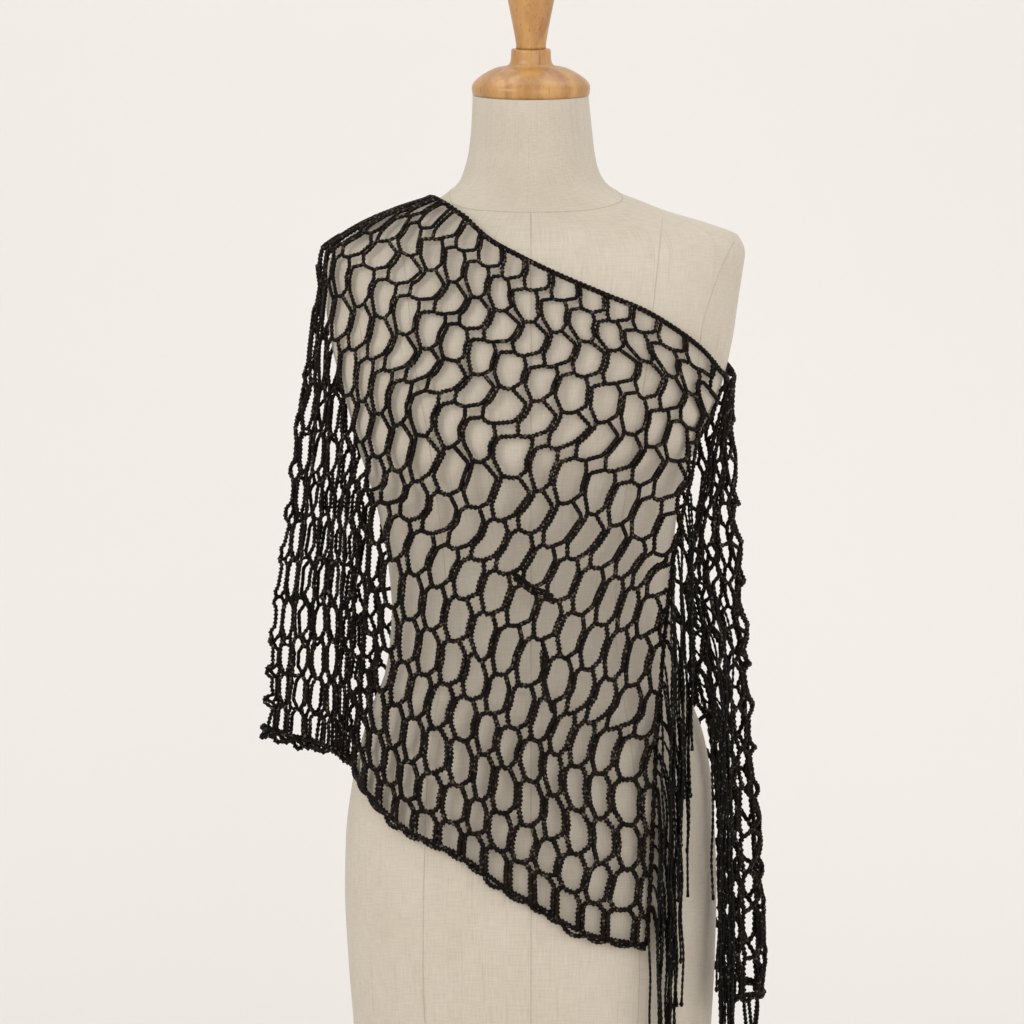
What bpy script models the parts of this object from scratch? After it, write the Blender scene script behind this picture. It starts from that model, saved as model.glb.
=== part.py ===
"""Open net poncho with long side fringe, worn off one shoulder on a linen dress form with a stand.

Lengths in the tables are millimetres. X runs to the viewer's right, the front faces -Y and Z is up.
The part stands on the floor, and the form's upright axis is X = 0, Y = 0.
"""
import math

import bmesh
import bpy
from mathutils import Matrix, Vector

MM = 0.001

# Sizes of the cloth
WALL = 2.4
SEAM_GAP = 0.4
EDGING_RADIUS = 2.5
EDGING_GAP = 0.35
KNOT_RADIUS = 4.8
KNOT_RISE = 6.0
STRAND_WIDTH = 2.8
WIDTH_CLEARANCE = 4.0
DEPTH_CLEARANCE = 4.5
LIFT = 3.0

# Grids of the two halves of the net
FRONT_COLUMNS = 46
BACK_COLUMNS = 56
PANEL_ROWS = 18

# The dress form, a row for each level.
# Columns: height, reach to the left, reach to the right, depth in front, depth behind, centre forward (-)
# or back (+), squareness.
FORM = (
    (179.0, 159.0, 161.0, 98.0, 103.0, 0.0, 2.30),
    (237.0, 163.0, 165.6, 104.0, 110.0, 0.0, 2.30),
    (300.0, 168.0, 169.0, 109.0, 117.0, 0.0, 2.30),
    (363.0, 171.0, 170.5, 112.0, 122.0, 0.0, 2.30),
    (410.0, 170.0, 169.0, 112.0, 121.0, 0.0, 2.30),
    (455.0, 164.7, 166.5, 110.0, 117.0, 0.0, 2.30),
    (500.0, 155.0, 159.0, 106.0, 108.0, 0.0, 2.25),
    (532.0, 145.0, 148.0, 102.0, 99.0, 0.0, 2.20),
    (560.0, 134.0, 138.0, 98.0, 93.0, 0.0, 2.20),
    (590.0, 129.5, 132.0, 95.0, 87.0, 0.0, 2.20),
    (616.0, 128.0, 128.5, 93.0, 84.0, 0.0, 2.20),
    (662.0, 131.6, 130.0, 98.0, 83.0, 0.0, 2.20),
    (700.0, 139.0, 133.5, 108.0, 86.0, 0.0, 2.20),
    (736.0, 149.0, 140.0, 120.0, 94.0, 0.0, 2.20),
    (760.0, 157.0, 149.0, 125.0, 100.0, 0.0, 2.20),
    (790.0, 165.0, 163.0, 123.0, 106.0, 0.0, 2.25),
    (830.0, 176.0, 177.0, 114.0, 110.0, 0.0, 2.35),
    (870.0, 185.0, 186.0, 103.0, 110.0, 1.0, 2.50),
    (905.0, 189.0, 191.0, 90.0, 107.0, 2.0, 2.55),
    (930.0, 187.5, 195.0, 78.0, 98.0, 3.0, 2.55),
    (945.0, 183.0, 197.0, 69.0, 90.0, 4.0, 2.50),
    (961.0, 167.0, 191.0, 61.0, 82.0, 6.0, 2.40),
    (972.0, 146.0, 164.0, 57.0, 76.0, 6.0, 2.30),
    (984.0, 116.5, 124.0, 55.0, 71.0, 6.0, 2.20),
    (993.0, 89.0, 101.0, 56.0, 67.0, 6.0, 2.15),
    (1000.0, 78.0, 83.0, 58.0, 65.0, 6.0, 2.10),
    (1011.0, 66.0, 68.0, 60.0, 62.0, 4.0, 2.05),
    (1023.0, 61.0, 61.6, 59.0, 60.0, 0.0, 2.00),
    (1037.0, 57.5, 58.5, 57.0, 57.0, -3.0, 2.00),
    (1058.0, 55.0, 56.0, 54.5, 54.5, -8.0, 2.00),
    (1089.0, 53.4, 52.6, 53.0, 53.0, -14.0, 2.00),
)
FORM_LEVELS = (
    179, 237, 300, 363, 410, 455, 500, 532, 560, 590, 616, 662, 700, 736, 760, 790, 830, 870, 905, 930,
    942, 952, 961, 970, 979, 988, 995, 1002, 1011, 1023, 1037, 1058, 1089,
)
FORM_SIDES = 44
NECK_LEAN = math.radians(10.5)
LEAN_STARTS = 1005.0

# How far the net hangs from the axis, a row for each level.
# Columns: height, reach of the shoulder fold (left), reach of the back half (right), body width left,
# body width right, depth in front, depth behind, thickness of the empty sleeve, of the right side.
HANG = (
    (230.0, 260.0, 211.0, 168.0, 172.0, 114.0, 124.0, 34.0, 46.0),
    (300.0, 256.0, 213.0, 172.0, 174.0, 116.0, 127.0, 34.0, 46.0),
    (363.0, 253.0, 211.0, 175.0, 175.0, 118.0, 129.0, 34.0, 45.0),
    (455.0, 249.0, 207.0, 170.0, 171.0, 120.0, 125.0, 34.0, 42.0),
    (510.0, 245.0, 204.0, 161.0, 163.0, 122.0, 119.0, 34.0, 40.0),
    (600.0, 237.5, 199.0, 160.0, 158.0, 126.0, 115.0, 36.0, 36.0),
    (700.0, 226.0, 192.0, 160.0, 157.0, 130.0, 115.0, 39.0, 34.0),
    (760.0, 220.0, 188.0, 162.0, 156.0, 131.0, 116.0, 41.0, 32.0),
    (810.0, 213.5, 186.5, 170.0, 172.0, 128.0, 116.0, 42.0, 30.0),
    (832.0, 209.0, 187.0, 178.0, 184.0, 118.0, 116.0, 42.0, 28.0),
    (850.0, 206.5, 190.0, 182.0, 188.0, 112.0, 116.0, 40.0, 26.0),
    (902.0, 199.0, 196.0, 193.0, 195.0, 95.0, 115.5, 42.0, 20.0),
    (947.0, 194.5, 199.0, 189.0, 200.0, 74.0, 103.0, 34.0, 16.0),
    (964.0, 172.0, 190.0, 168.0, 190.0, 62.0, 84.0, 18.0, 12.0),
    (987.0, 120.5, 124.0, 118.0, 122.0, 57.0, 74.0, 10.0, 8.0),
    (996.5, 91.5, 96.0, 89.0, 94.0, 58.0, 70.0, 8.0, 6.0),
    (1005.0, 84.0, 84.0, 82.0, 82.0, 60.0, 70.0, 6.0, 6.0),
)

# The four edges of the front half. Columns: share of the edge, height, position across.
# A position of -1 is the shoulder fold, 0 the middle of the front and 1 the right side.
FRONT_NECKLINE = (
    (0.00, 996.5, -1.000),
    (0.03, 994.0, -0.720),
    (0.06, 988.5, -0.480),
    (0.10, 975.5, -0.270),
    (0.20, 944.0, -0.075),
    (0.36, 922.0, 0.066),
    (0.52, 902.0, 0.222),
    (0.65, 890.5, 0.346),
    (0.78, 875.0, 0.492),
    (0.89, 855.0, 0.645),
    (0.95, 838.0, 0.755),
    (1.00, 827.0, 0.900),
)
FRONT_HEM = (
    (0.00, 510.5, -1.000),
    (0.10, 501.0, -0.672),
    (0.20, 488.0, -0.500),
    (0.27, 467.0, -0.445),
    (0.39, 425.0, -0.305),
    (0.52, 400.0, -0.163),
    (0.64, 368.0, -0.046),
    (0.73, 353.0, 0.032),
    (0.87, 328.0, 0.203),
    (1.00, 318.0, 0.405),
)
SHOULDER_FOLD = (
    (0.00, 996.5, -1.0),
    (0.09, 982.0, -1.0),
    (0.18, 962.0, -1.0),
    (0.27, 928.0, -1.0),
    (1.00, 510.5, -1.0),
)
FRONT_SHORT_END = (
    (0.00, 827.0, 0.900),
    (0.08, 789.0, 0.860),
    (0.17, 745.0, 0.780),
    (0.25, 707.0, 0.680),
    (0.34, 662.0, 0.605),
    (0.46, 601.0, 0.555),
    (0.58, 534.0, 0.508),
    (0.76, 449.0, 0.448),
    (1.00, 318.0, 0.405),
)

# The edges of the back half. Past the right side (1) the cloth turns in to its short end (2).
BACK_NECKLINE = (
    (0.00, 996.5, -1.000),
    (0.03, 994.5, -0.740),
    (0.06, 990.0, -0.520),
    (0.10, 979.0, -0.300),
    (0.20, 954.0, -0.080),
    (0.38, 925.0, 0.130),
    (0.55, 899.0, 0.330),
    (0.72, 871.0, 0.560),
    (0.86, 846.0, 0.800),
    (0.94, 831.0, 1.000),
    (1.00, 826.0, 2.000),
)
BACK_HEM = (
    (0.00, 510.5, -1.000),
    (0.08, 497.0, -0.672),
    (0.16, 484.0, -0.500),
    (0.30, 428.0, -0.290),
    (0.46, 372.0, -0.060),
    (0.62, 326.0, 0.180),
    (0.78, 289.0, 0.520),
    (0.91, 268.0, 1.000),
    (1.00, 266.0, 2.000),
)
BACK_SHORT_END = (
    (0.00, 826.0, 2.0),
    (1.00, 266.0, 2.0),
)
# How the right end turns in. Columns: height, reach of the short end, depth in front of the axis.
TURN_IN = (
    (240.0, 173.0, 52.0),
    (363.0, 172.0, 52.0),
    (430.0, 170.0, 50.0),
    (500.0, 163.5, 46.0),
    (584.0, 146.0, 42.0),
    (640.0, 143.0, 40.0),
    (700.0, 151.0, 38.0),
    (780.0, 168.0, 30.0),
    (832.0, 184.5, 16.0),
)

# Upright folds of the net. Columns: middle, half width across, depth at the hem, share of the way down
# at which the fold begins, half it belongs to.
FOLDS = (
    (-0.900, 0.042, 5.0, 0.20, "front"),
    (-0.800, 0.042, -6.0, 0.22, "front"),
    (-0.705, 0.040, 6.5, 0.22, "front"),
    (-0.620, 0.038, -6.5, 0.25, "front"),
    (-0.545, 0.034, 7.0, 0.30, "front"),
    (-0.470, 0.034, -5.0, 0.35, "front"),
    (-0.240, 0.070, 3.0, 0.55, "front"),
    (0.120, 0.080, 3.0, 0.60, "front"),
    (0.340, 0.050, 3.5, 0.60, "front"),
    (-0.890, 0.045, -5.0, 0.20, "back"),
    (-0.780, 0.045, 6.0, 0.22, "back"),
    (-0.680, 0.042, -6.0, 0.25, "back"),
    (-0.580, 0.040, 6.5, 0.30, "back"),
    (-0.480, 0.040, -5.0, 0.35, "back"),
    (-0.150, 0.090, 4.0, 0.50, "back"),
    (0.250, 0.080, 5.0, 0.40, "back"),
    (0.450, 0.055, -5.0, 0.30, "back"),
    (0.580, 0.050, 6.5, 0.25, "back"),
    (0.700, 0.045, -5.0, 0.25, "back"),
    (0.810, 0.045, 6.0, 0.20, "back"),
    (0.930, 0.050, -3.5, 0.20, "back"),
    (1.250, 0.140, 3.0, 0.25, "back"),
    (1.600, 0.140, -3.0, 0.25, "back"),
)

# The two fringes. The highest strands hang outermost, so that no strand crosses another.
# Columns: reach of the first strand of each layer, from the outermost layer in.
FRONT_LAYERS = (146.0, 140.0, 134.5, 130.0)
BACK_LAYERS = (179.0, 181.0, 183.0, 184.0)
LAYER_STRANDS = 6
STRAND_SPACING = 4.2
LAYER_SPACING = 4.6
# Columns: share of the short end where the strands begin and stop, depth of the innermost layer,
# reach at which that depth holds, how much nearer the axis it is for each millimetre further out,
# least and greatest length.
FRONT_FRINGE = (0.20, 0.985, 107.0, 110.0, 0.9, 230.0, 268.0)
BACK_FRINGE = (0.30, 0.985, 64.0, 110.0, 0.0, 200.0, 262.0)
FLOOR_CLEARANCE = 6.0

# The turned wood and the stand. Columns: distance along the turned axis, radius.
CAP_PROFILE = (
    (0.4, 53.5),
    (6.0, 54.6),
    (11.0, 53.6),
    (17.0, 47.0),
    (23.0, 36.5),
    (25.5, 30.0),
    (26.6, 18.6),
    (41.0, 18.2),
    (42.0, 17.4),
)
FINIAL_PROFILE = (
    (42.3, 13.6),
    (47.0, 13.8),
    (58.0, 15.6),
    (74.0, 18.8),
    (92.0, 22.4),
    (102.0, 23.6),
    (112.0, 23.0),
    (121.0, 19.5),
    (127.0, 13.0),
    (130.0, 5.0),
)
POLE_PROFILE = (
    (12.3, 13.0),
    (178.7, 13.0),
)
BASE_PROFILE = (
    (0.0, 138.0),
    (2.0, 140.0),
    (8.0, 140.0),
    (12.0, 134.0),
)
TURNED_SIDES = 40
POLE_SIDES = 20


def value(table, at, column):
    """Smooth value of one column of a table at a place given in its first column."""
    keys = [row[0] for row in table]
    last = len(keys) - 1
    if at <= keys[0]:
        return table[0][column]
    if at >= keys[last]:
        return table[last][column]
    low = max(index for index in range(last) if keys[index] <= at)
    slopes = [
        (table[index + 1][column] - table[index][column]) / (keys[index + 1] - keys[index])
        for index in range(last)
    ]

    def tangent(index):
        if index == 0:
            return slopes[0]
        if index == last:
            return slopes[last - 1]
        before, after = slopes[index - 1], slopes[index]
        if before * after <= 0.0:
            return 0.0
        return 2.0 * before * after / (before + after)

    step = keys[low + 1] - keys[low]
    t = (at - keys[low]) / step
    start, end = table[low][column], table[low + 1][column]
    return (
        (2.0 * t ** 3 - 3.0 * t ** 2 + 1.0) * start
        + (t ** 3 - 2.0 * t ** 2 + t) * step * tangent(low)
        + (3.0 * t ** 2 - 2.0 * t ** 3) * end
        + (t ** 3 - t ** 2) * step * tangent(low + 1)
    )


def ease(at, start, stop):
    """0 before start, 1 after stop and smooth between."""
    t = min(1.0, max(0.0, (at - start) / (stop - start)))
    return t * t * (3.0 - 2.0 * t)


def rounded_depth(across, reach, depth, power):
    """Depth of a rounded section at a distance from its middle."""
    share = min(1.0, abs(across) / reach)
    return depth * (1.0 - share ** power) ** (1.0 / power)


def form_point(height, angle):
    """Point of the dress form at a level, with the angle measured from the front towards the right."""
    left, right, front, back, shift, power = (value(FORM, height, column) for column in range(1, 7))
    sine, cosine = math.sin(angle), math.cos(angle)
    reach = right if sine > 0.0 else left
    depth = front if cosine > 0.0 else back
    x = reach * math.copysign(abs(sine) ** (2.0 / power), sine)
    y = -depth * math.copysign(abs(cosine) ** (2.0 / power), cosine)
    lean = math.tan(NECK_LEAN) * ease(height, LEAN_STARTS, FORM[-1][0])
    return Vector((x, y + shift, height + lean * y))


def body_widths(height):
    """Half widths of the net round the body, left and right, clear of the form."""
    under = height - LIFT
    left = max(value(HANG, height, 3), value(FORM, under, 1) + WIDTH_CLEARANCE)
    right = max(value(HANG, height, 4), value(FORM, under, 2) + WIDTH_CLEARANCE)
    return left, right


def body_depths(height):
    """Depths of the net in front and behind, clear of the form, and the squareness of its section."""
    under = height - LIFT
    shift = value(FORM, under, 5)
    front = max(value(HANG, height, 5), value(FORM, under, 3) - shift + DEPTH_CLEARANCE)
    back = max(value(HANG, height, 6), value(FORM, under, 4) + shift + DEPTH_CLEARANCE)
    return front, back, value(FORM, under, 6)


def net_depth(x, height, side):
    """Depth of the net in front of or behind the axis, at a distance across."""
    left, right = body_widths(height)
    front, back, power = body_depths(height)
    depth = front if side == "front" else back
    body = rounded_depth(x, right if x > 0.0 else left, depth, power)
    if x < 0.0:
        fold = max(value(HANG, height, 1), left + 1.5)
        flap = value(HANG, height, 7) * math.sqrt(max(0.0, 1.0 - (x / fold) ** 4))
        flap *= 1.0 - ease(x, -70.0, 0.0)
    elif side == "back":
        reach = max(value(HANG, height, 2), right + 1.5)
        flap = value(HANG, height, 8) * math.sqrt(max(0.0, 1.0 - (x / reach) ** 4))
        flap *= ease(x, 0.0, 70.0)
    else:
        flap = 0.0
    return (body ** 4 + flap ** 4) ** 0.25


def fold_depth(place, down, side):
    """How far the folds push the net out of its even form."""
    depth = 0.0
    for middle, half_width, most, starts, half in FOLDS:
        if half == side:
            depth += most * math.exp(-((place - middle) / half_width) ** 2) * ease(down, starts, 1.0)
    return depth


def net_point(place, height, side):
    """Point of the even net surface at a place across and a height."""
    left, right = body_widths(height)
    if place < 0.0:
        x = -max(value(HANG, height, 1), left + 1.5) * math.sin(-place * math.pi / 2)
        depth = net_depth(x, height, side)
    elif side == "front":
        x = right * math.sin(place * math.pi / 2)
        depth = net_depth(x, height, side)
    elif place <= 1.0:
        x = max(value(HANG, height, 2), right + 1.5) * math.sin(place * math.pi / 2)
        depth = net_depth(x, height, side)
    else:
        reach = max(value(HANG, height, 2), right + 1.5)
        turn = (place - 1.0) * math.pi / 2
        end = min(value(TURN_IN, height, 1), reach - 2.0)
        x = reach - (reach - end) * (1.0 - math.cos(turn))
        depth = -value(TURN_IN, height, 2) * math.sin(turn)
    half_gap = SEAM_GAP / 2
    if side == "front":
        return Vector((x, -depth - half_gap, height))
    return Vector((x, depth + half_gap, height))


def patch(across, down, top, bottom, start, end):
    """Height and place of a point of a panel, blended from its four edges."""
    def blend(column):
        sides = (1.0 - across) * value(start, down, column) + across * value(end, down, column)
        ends = (1.0 - down) * value(top, across, column) + down * value(bottom, across, column)
        corners = (
            (1.0 - across) * (1.0 - down) * top[0][column]
            + across * (1.0 - down) * top[-1][column]
            + (1.0 - across) * down * bottom[0][column]
            + across * down * bottom[-1][column]
        )
        return sides + ends - corners
    return blend(1), blend(2)


def panel_place(across, down, side):
    if side == "front":
        return patch(across, down, FRONT_NECKLINE, FRONT_HEM, SHOULDER_FOLD, FRONT_SHORT_END)
    return patch(across, down, BACK_NECKLINE, BACK_HEM, SHOULDER_FOLD, BACK_SHORT_END)


def even_point(across, down, side):
    height, place = panel_place(across, down, side)
    return net_point(place, height, side)


def panel_normal(across, down, side):
    """Outward direction of a panel."""
    step = 0.004
    left = even_point(max(0.0, across - step), down, side)
    right = even_point(min(1.0, across + step), down, side)
    above = even_point(across, max(0.0, down - step), side)
    below = even_point(across, min(1.0, down + step), side)
    normal = (right - left).cross(above - below)
    if across == 0.0:
        normal.y = 0.0
    normal.normalize()
    return normal if side == "front" else -normal


def panel_point(across, down, side):
    """Middle of the wall of a panel, with its folds, and its outward direction."""
    place = panel_place(across, down, side)[1]
    normal = panel_normal(across, down, side)
    return even_point(across, down, side) + normal * fold_depth(place, down, side), normal


def make_object(name, mesh_data, material, collection):
    mesh = bpy.data.meshes.new(name)
    mesh_data.to_mesh(mesh)
    mesh_data.free()
    mesh.materials.append(material)
    item = bpy.data.objects.new(name, mesh)
    collection.objects.link(item)
    return item


def make_material(name, colour, roughness, metallic=0.0):
    material = bpy.data.materials.new(name)
    material.use_nodes = True
    shader = material.node_tree.nodes["Principled BSDF"]
    shader.inputs["Base Color"].default_value = (*colour, 1.0)
    shader.inputs["Roughness"].default_value = roughness
    shader.inputs["Metallic"].default_value = metallic
    material.diffuse_color = (*colour, 1.0)
    return material


def outward(mesh_data):
    bmesh.ops.recalc_face_normals(mesh_data, faces=mesh_data.faces)
    if mesh_data.calc_volume(signed=True) < 0.0:
        bmesh.ops.reverse_faces(mesh_data, faces=mesh_data.faces)
    return mesh_data


def loft(rings):
    """Closed solid through rings with as many points each, with flat ends."""
    data = bmesh.new()
    loops = [[data.verts.new(point * MM) for point in ring] for ring in rings]
    count = len(loops[0])
    for lower, upper in zip(loops, loops[1:]):
        for index in range(count):
            after = (index + 1) % count
            data.faces.new((lower[index], lower[after], upper[after], upper[index]))
    data.faces.new(list(reversed(loops[0])))
    data.faces.new(loops[-1])
    return outward(data)


def thick_wall(side, columns, rows):
    """A panel of net as a wall with its real thickness."""
    data = bmesh.new()
    outer, inner = [], []
    for row in range(rows + 1):
        outer_row, inner_row = [], []
        for column in range(columns + 1):
            middle, normal = panel_point(column / columns, row / rows, side)
            outer_row.append(data.verts.new((middle + normal * (WALL / 2)) * MM))
            inner_row.append(data.verts.new((middle - normal * (WALL / 2)) * MM))
        outer.append(outer_row)
        inner.append(inner_row)
    for row in range(rows):
        for column in range(columns):
            data.faces.new((
                outer[row][column], outer[row][column + 1],
                outer[row + 1][column + 1], outer[row + 1][column],
            ))
            data.faces.new((
                inner[row][column], inner[row + 1][column],
                inner[row + 1][column + 1], inner[row][column + 1],
            ))
    for column in range(columns):
        for row in (0, rows):
            data.faces.new((
                outer[row][column], outer[row][column + 1],
                inner[row][column + 1], inner[row][column],
            ))
    for row in range(rows):
        for column in (0, columns):
            data.faces.new((
                outer[row][column], outer[row + 1][column],
                inner[row + 1][column], inner[row][column],
            ))
    return outward(data)


def frames_along(points):
    """Two side directions at each point of a path, carried along without twist."""
    frames = []
    side = None
    for index, point in enumerate(points):
        before = points[max(0, index - 1)]
        after = points[min(len(points) - 1, index + 1)]
        direction = (after - before).normalized()
        if side is None:
            guess = Vector((0.0, 0.0, 1.0)) if abs(direction.z) < 0.9 else Vector((0.0, 1.0, 0.0))
            side = guess
        side = (side - direction * side.dot(direction)).normalized()
        frames.append((side.copy(), direction.cross(side)))
    return frames


def tube(points, radius, sides):
    rings = []
    for point, (first, second) in zip(points, frames_along(points)):
        ring = []
        for index in range(sides):
            angle = 2.0 * math.pi * (index + 0.5) / sides
            ring.append(point + first * (radius * math.cos(angle)) + second * (radius * math.sin(angle)))
        rings.append(ring)
    return loft(rings)


def square_off(way, along, normal):
    """Direction most like one way that is square to an edge and lies in the cloth."""
    square = along.cross(normal).normalized()
    return square if square.dot(way) > 0.0 else -square


def edge_path(down):
    """Path of an edging, just off the walls' top or bottom edge, right round the fold."""
    outside = EDGING_RADIUS + EDGING_GAP
    path = []
    for side, columns in (("front", FRONT_COLUMNS), ("back", BACK_COLUMNS)):
        half_path = []
        for index in range(columns + 1):
            across = index / columns
            middle, normal = panel_point(across, down, side)
            before = panel_point(max(0.0, across - 1.0 / columns), down, side)[0]
            after = panel_point(min(1.0, across + 1.0 / columns), down, side)[0]
            inside = panel_point(across, 0.02 if down == 0.0 else 0.98, side)[0]
            along = after - before if index else Vector((0.0, 1.0, 0.0))
            half_path.append(middle + square_off(middle - inside, along, normal) * outside)
        path += reversed(half_path) if side == "front" else half_path[1:]
    return path


def short_end(down, side):
    """Point of a panel's short end on the straight runs of its wall, its way out and its outward side."""
    row = min(PANEL_ROWS - 1, int(down * PANEL_ROWS))
    share = down * PANEL_ROWS - row
    ends = []
    for level in (row / PANEL_ROWS, (row + 1) / PANEL_ROWS):
        middle, normal = panel_point(1.0, level, side)
        above = panel_point(1.0, max(0.0, level - 0.02), side)[0]
        below = panel_point(1.0, min(1.0, level + 0.02), side)[0]
        inside = panel_point(0.985, level, side)[0]
        ends.append((middle, square_off(middle - inside, below - above, normal), normal))
    return tuple(first.lerp(second, share) for first, second in zip(*ends))


def turned(profile, sides, base, lean):
    """Turned solid from its profile, on an axis that leans forward."""
    turn = Matrix.Rotation(lean, 3, "X")
    rings = []
    for along, radius in profile:
        ring = []
        for index in range(sides):
            angle = 2.0 * math.pi * index / sides
            ring.append(base + turn @ Vector((radius * math.cos(angle), radius * math.sin(angle), along)))
        rings.append(ring)
    return loft(rings)


def fringe(side, numbers, layers):
    """Strands that hang from a narrow strip beside a short end, all one closed body."""
    starts, stops = numbers[:2]
    half = STRAND_WIDTH / 2
    strands = len(layers) * LAYER_STRANDS
    segments = strands * 2
    data = bmesh.new()
    loops, ways = [], []
    for index in range(segments + 1):
        down = starts + (stops - starts) * index / segments
        middle, away, normal = short_end(down, side)
        centre = middle + away * (EDGING_GAP + half)
        ways.append((away, normal))
        loops.append([
            data.verts.new((centre + away * (half * a) + normal * (half * n)) * MM)
            for a, n in ((-1, -1), (1, -1), (1, 1), (-1, 1))
        ])
    for index in range(segments):
        upper, lower = loops[index], loops[index + 1]
        carries = index % 2 == 0
        for corner in range(4):
            after = (corner + 1) % 4
            if carries and corner == 2:
                continue
            data.faces.new((upper[corner], upper[after], lower[after], lower[corner]))
        if carries:
            root = [upper[2], upper[3], lower[3], lower[2]]
            grow_strand(data, root, index // 2, ways[index], numbers, layers)
    data.faces.new(list(reversed(loops[0])))
    data.faces.new(loops[-1])
    return outward(data)


def grow_strand(data, root, number, ways, numbers, layers):
    """One four sided strand, from a face of the strip down to its free end."""
    depth, held_at, slope, shortest, longest = numbers[2:]
    away, normal = ways
    start = sum((vert.co for vert in root), Vector()) / 4 / MM
    layer, turn = divmod(number, LAYER_STRANDS)
    inward = len(layers) - 1 - layer
    hang_x = layers[layer] - STRAND_SPACING * turn
    hang_y = -depth + slope * (hang_x - held_at) - LAYER_SPACING * inward
    length = shortest + (longest - shortest) * ((number * 7) % 11) / 10
    foot = max(FLOOR_CLEARANCE, start.z - length)
    drop = start.z - foot
    first = Vector((away.x, away.y, 0.0)).normalized() * (STRAND_WIDTH / 2)
    second = Vector((normal.x, normal.y, 0.0)).normalized() * (STRAND_WIDTH / 2)
    steps = ((9.0, 0.40), (30.0, 0.90), (drop * 0.38, 1.0), (drop * 0.70, 1.0), (drop, 1.0))
    previous = root
    for fall, out in steps:
        centre = Vector((
            start.x + (hang_x - start.x) * out,
            start.y + (hang_y - start.y) * out,
            start.z - fall,
        ))
        ring = [
            data.verts.new((centre + first * a + second * b) * MM)
            for a, b in ((1, 1), (-1, 1), (-1, -1), (1, -1))
        ]
        for corner in range(4):
            after = (corner + 1) % 4
            data.faces.new((previous[corner], previous[after], ring[after], ring[corner]))
        previous = ring
    data.faces.new(previous)


def knot():
    """Small yarn knot that ties the two top corners, seated on the ends of the neckline edging."""
    path = edge_path(0.0)
    middle = (path[0] + path[-1]) / 2 + Vector((1.0, 0.0, KNOT_RISE))
    rings = []
    for level in range(1, 8):
        tilt = math.pi * level / 8
        radius = KNOT_RADIUS * math.sin(tilt)
        rings.append([
            middle + Vector((
                radius * math.cos(2.0 * math.pi * side / 12),
                radius * math.sin(2.0 * math.pi * side / 12),
                -KNOT_RADIUS * math.cos(tilt),
            ))
            for side in range(12)
        ])
    return loft(rings)


def main():
    for item in list(bpy.data.objects):
        bpy.data.objects.remove(item, do_unlink=True)
    parts = bpy.data.collections.new("parts")
    bpy.context.scene.collection.children.link(parts)

    net = make_material("black_net", (0.020, 0.017, 0.015), 0.6)
    cord = make_material("black_cord", (0.016, 0.014, 0.012), 0.55)
    yarn = make_material("black_yarn", (0.012, 0.010, 0.009), 0.6)
    linen = make_material("linen", (0.64, 0.57, 0.48), 0.9)
    wood = make_material("turned_wood", (0.60, 0.34, 0.13), 0.4)
    metal = make_material("stand_metal", (0.08, 0.08, 0.08), 0.45, 0.6)

    rings = []
    for height in FORM_LEVELS:
        rings.append([
            form_point(height, 2.0 * math.pi * index / FORM_SIDES) for index in range(FORM_SIDES)
        ])
    make_object("dress_form", loft(rings), linen, parts)

    make_object("front_panel", thick_wall("front", FRONT_COLUMNS, PANEL_ROWS), net, parts)
    make_object("back_panel", thick_wall("back", BACK_COLUMNS, PANEL_ROWS), net, parts)
    make_object("neckline_edging", tube(edge_path(0.0), EDGING_RADIUS, 5), cord, parts)
    make_object("hem_edging", tube(edge_path(1.0), EDGING_RADIUS, 5), cord, parts)
    make_object("front_fringe", fringe("front", FRONT_FRINGE, FRONT_LAYERS), yarn, parts)
    make_object("back_fringe", fringe("back", BACK_FRINGE, BACK_LAYERS), yarn, parts)
    make_object("corner_knot", knot(), yarn, parts)

    neck_top = Vector((0.0, FORM[-1][5], FORM[-1][0]))
    make_object("neck_cap", turned(CAP_PROFILE, TURNED_SIDES, neck_top, NECK_LEAN), wood, parts)
    make_object("neck_finial", turned(FINIAL_PROFILE, 32, neck_top, NECK_LEAN), wood, parts)
    floor = Vector((0.0, 0.0, 0.0))
    make_object("stand_pole", turned(POLE_PROFILE, POLE_SIDES, floor, 0.0), metal, parts)
    make_object("stand_base", turned(BASE_PROFILE, TURNED_SIDES, floor, 0.0), metal, parts)


main()
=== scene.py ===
"""Looks of the open net poncho: its crocheted net, edgings, fringe and knot, the linen form and its stand.

Lengths in the tables are millimetres, as in the part's source. X runs to the viewer's right, the front
faces -Y and Z is up. The form's upright axis is X = 0, Y = 0.
"""
import math
import random

import bpy
import numpy as np
from mathutils import Matrix, Vector

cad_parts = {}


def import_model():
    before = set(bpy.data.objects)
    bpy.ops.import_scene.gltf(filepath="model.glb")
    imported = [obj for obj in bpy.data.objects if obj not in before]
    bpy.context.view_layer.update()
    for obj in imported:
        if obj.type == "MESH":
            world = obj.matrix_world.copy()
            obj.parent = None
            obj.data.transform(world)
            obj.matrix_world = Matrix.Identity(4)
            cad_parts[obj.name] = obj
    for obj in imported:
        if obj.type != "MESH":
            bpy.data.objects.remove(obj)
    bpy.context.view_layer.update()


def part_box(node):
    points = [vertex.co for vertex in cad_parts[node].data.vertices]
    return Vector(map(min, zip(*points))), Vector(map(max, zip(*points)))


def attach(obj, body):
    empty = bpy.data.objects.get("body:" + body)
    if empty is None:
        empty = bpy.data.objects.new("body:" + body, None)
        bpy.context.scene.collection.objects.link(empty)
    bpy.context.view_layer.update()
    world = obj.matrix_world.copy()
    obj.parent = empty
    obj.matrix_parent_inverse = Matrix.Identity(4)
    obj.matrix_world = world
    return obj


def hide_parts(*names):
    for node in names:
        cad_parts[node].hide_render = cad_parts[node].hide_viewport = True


MM = 0.001

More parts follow.
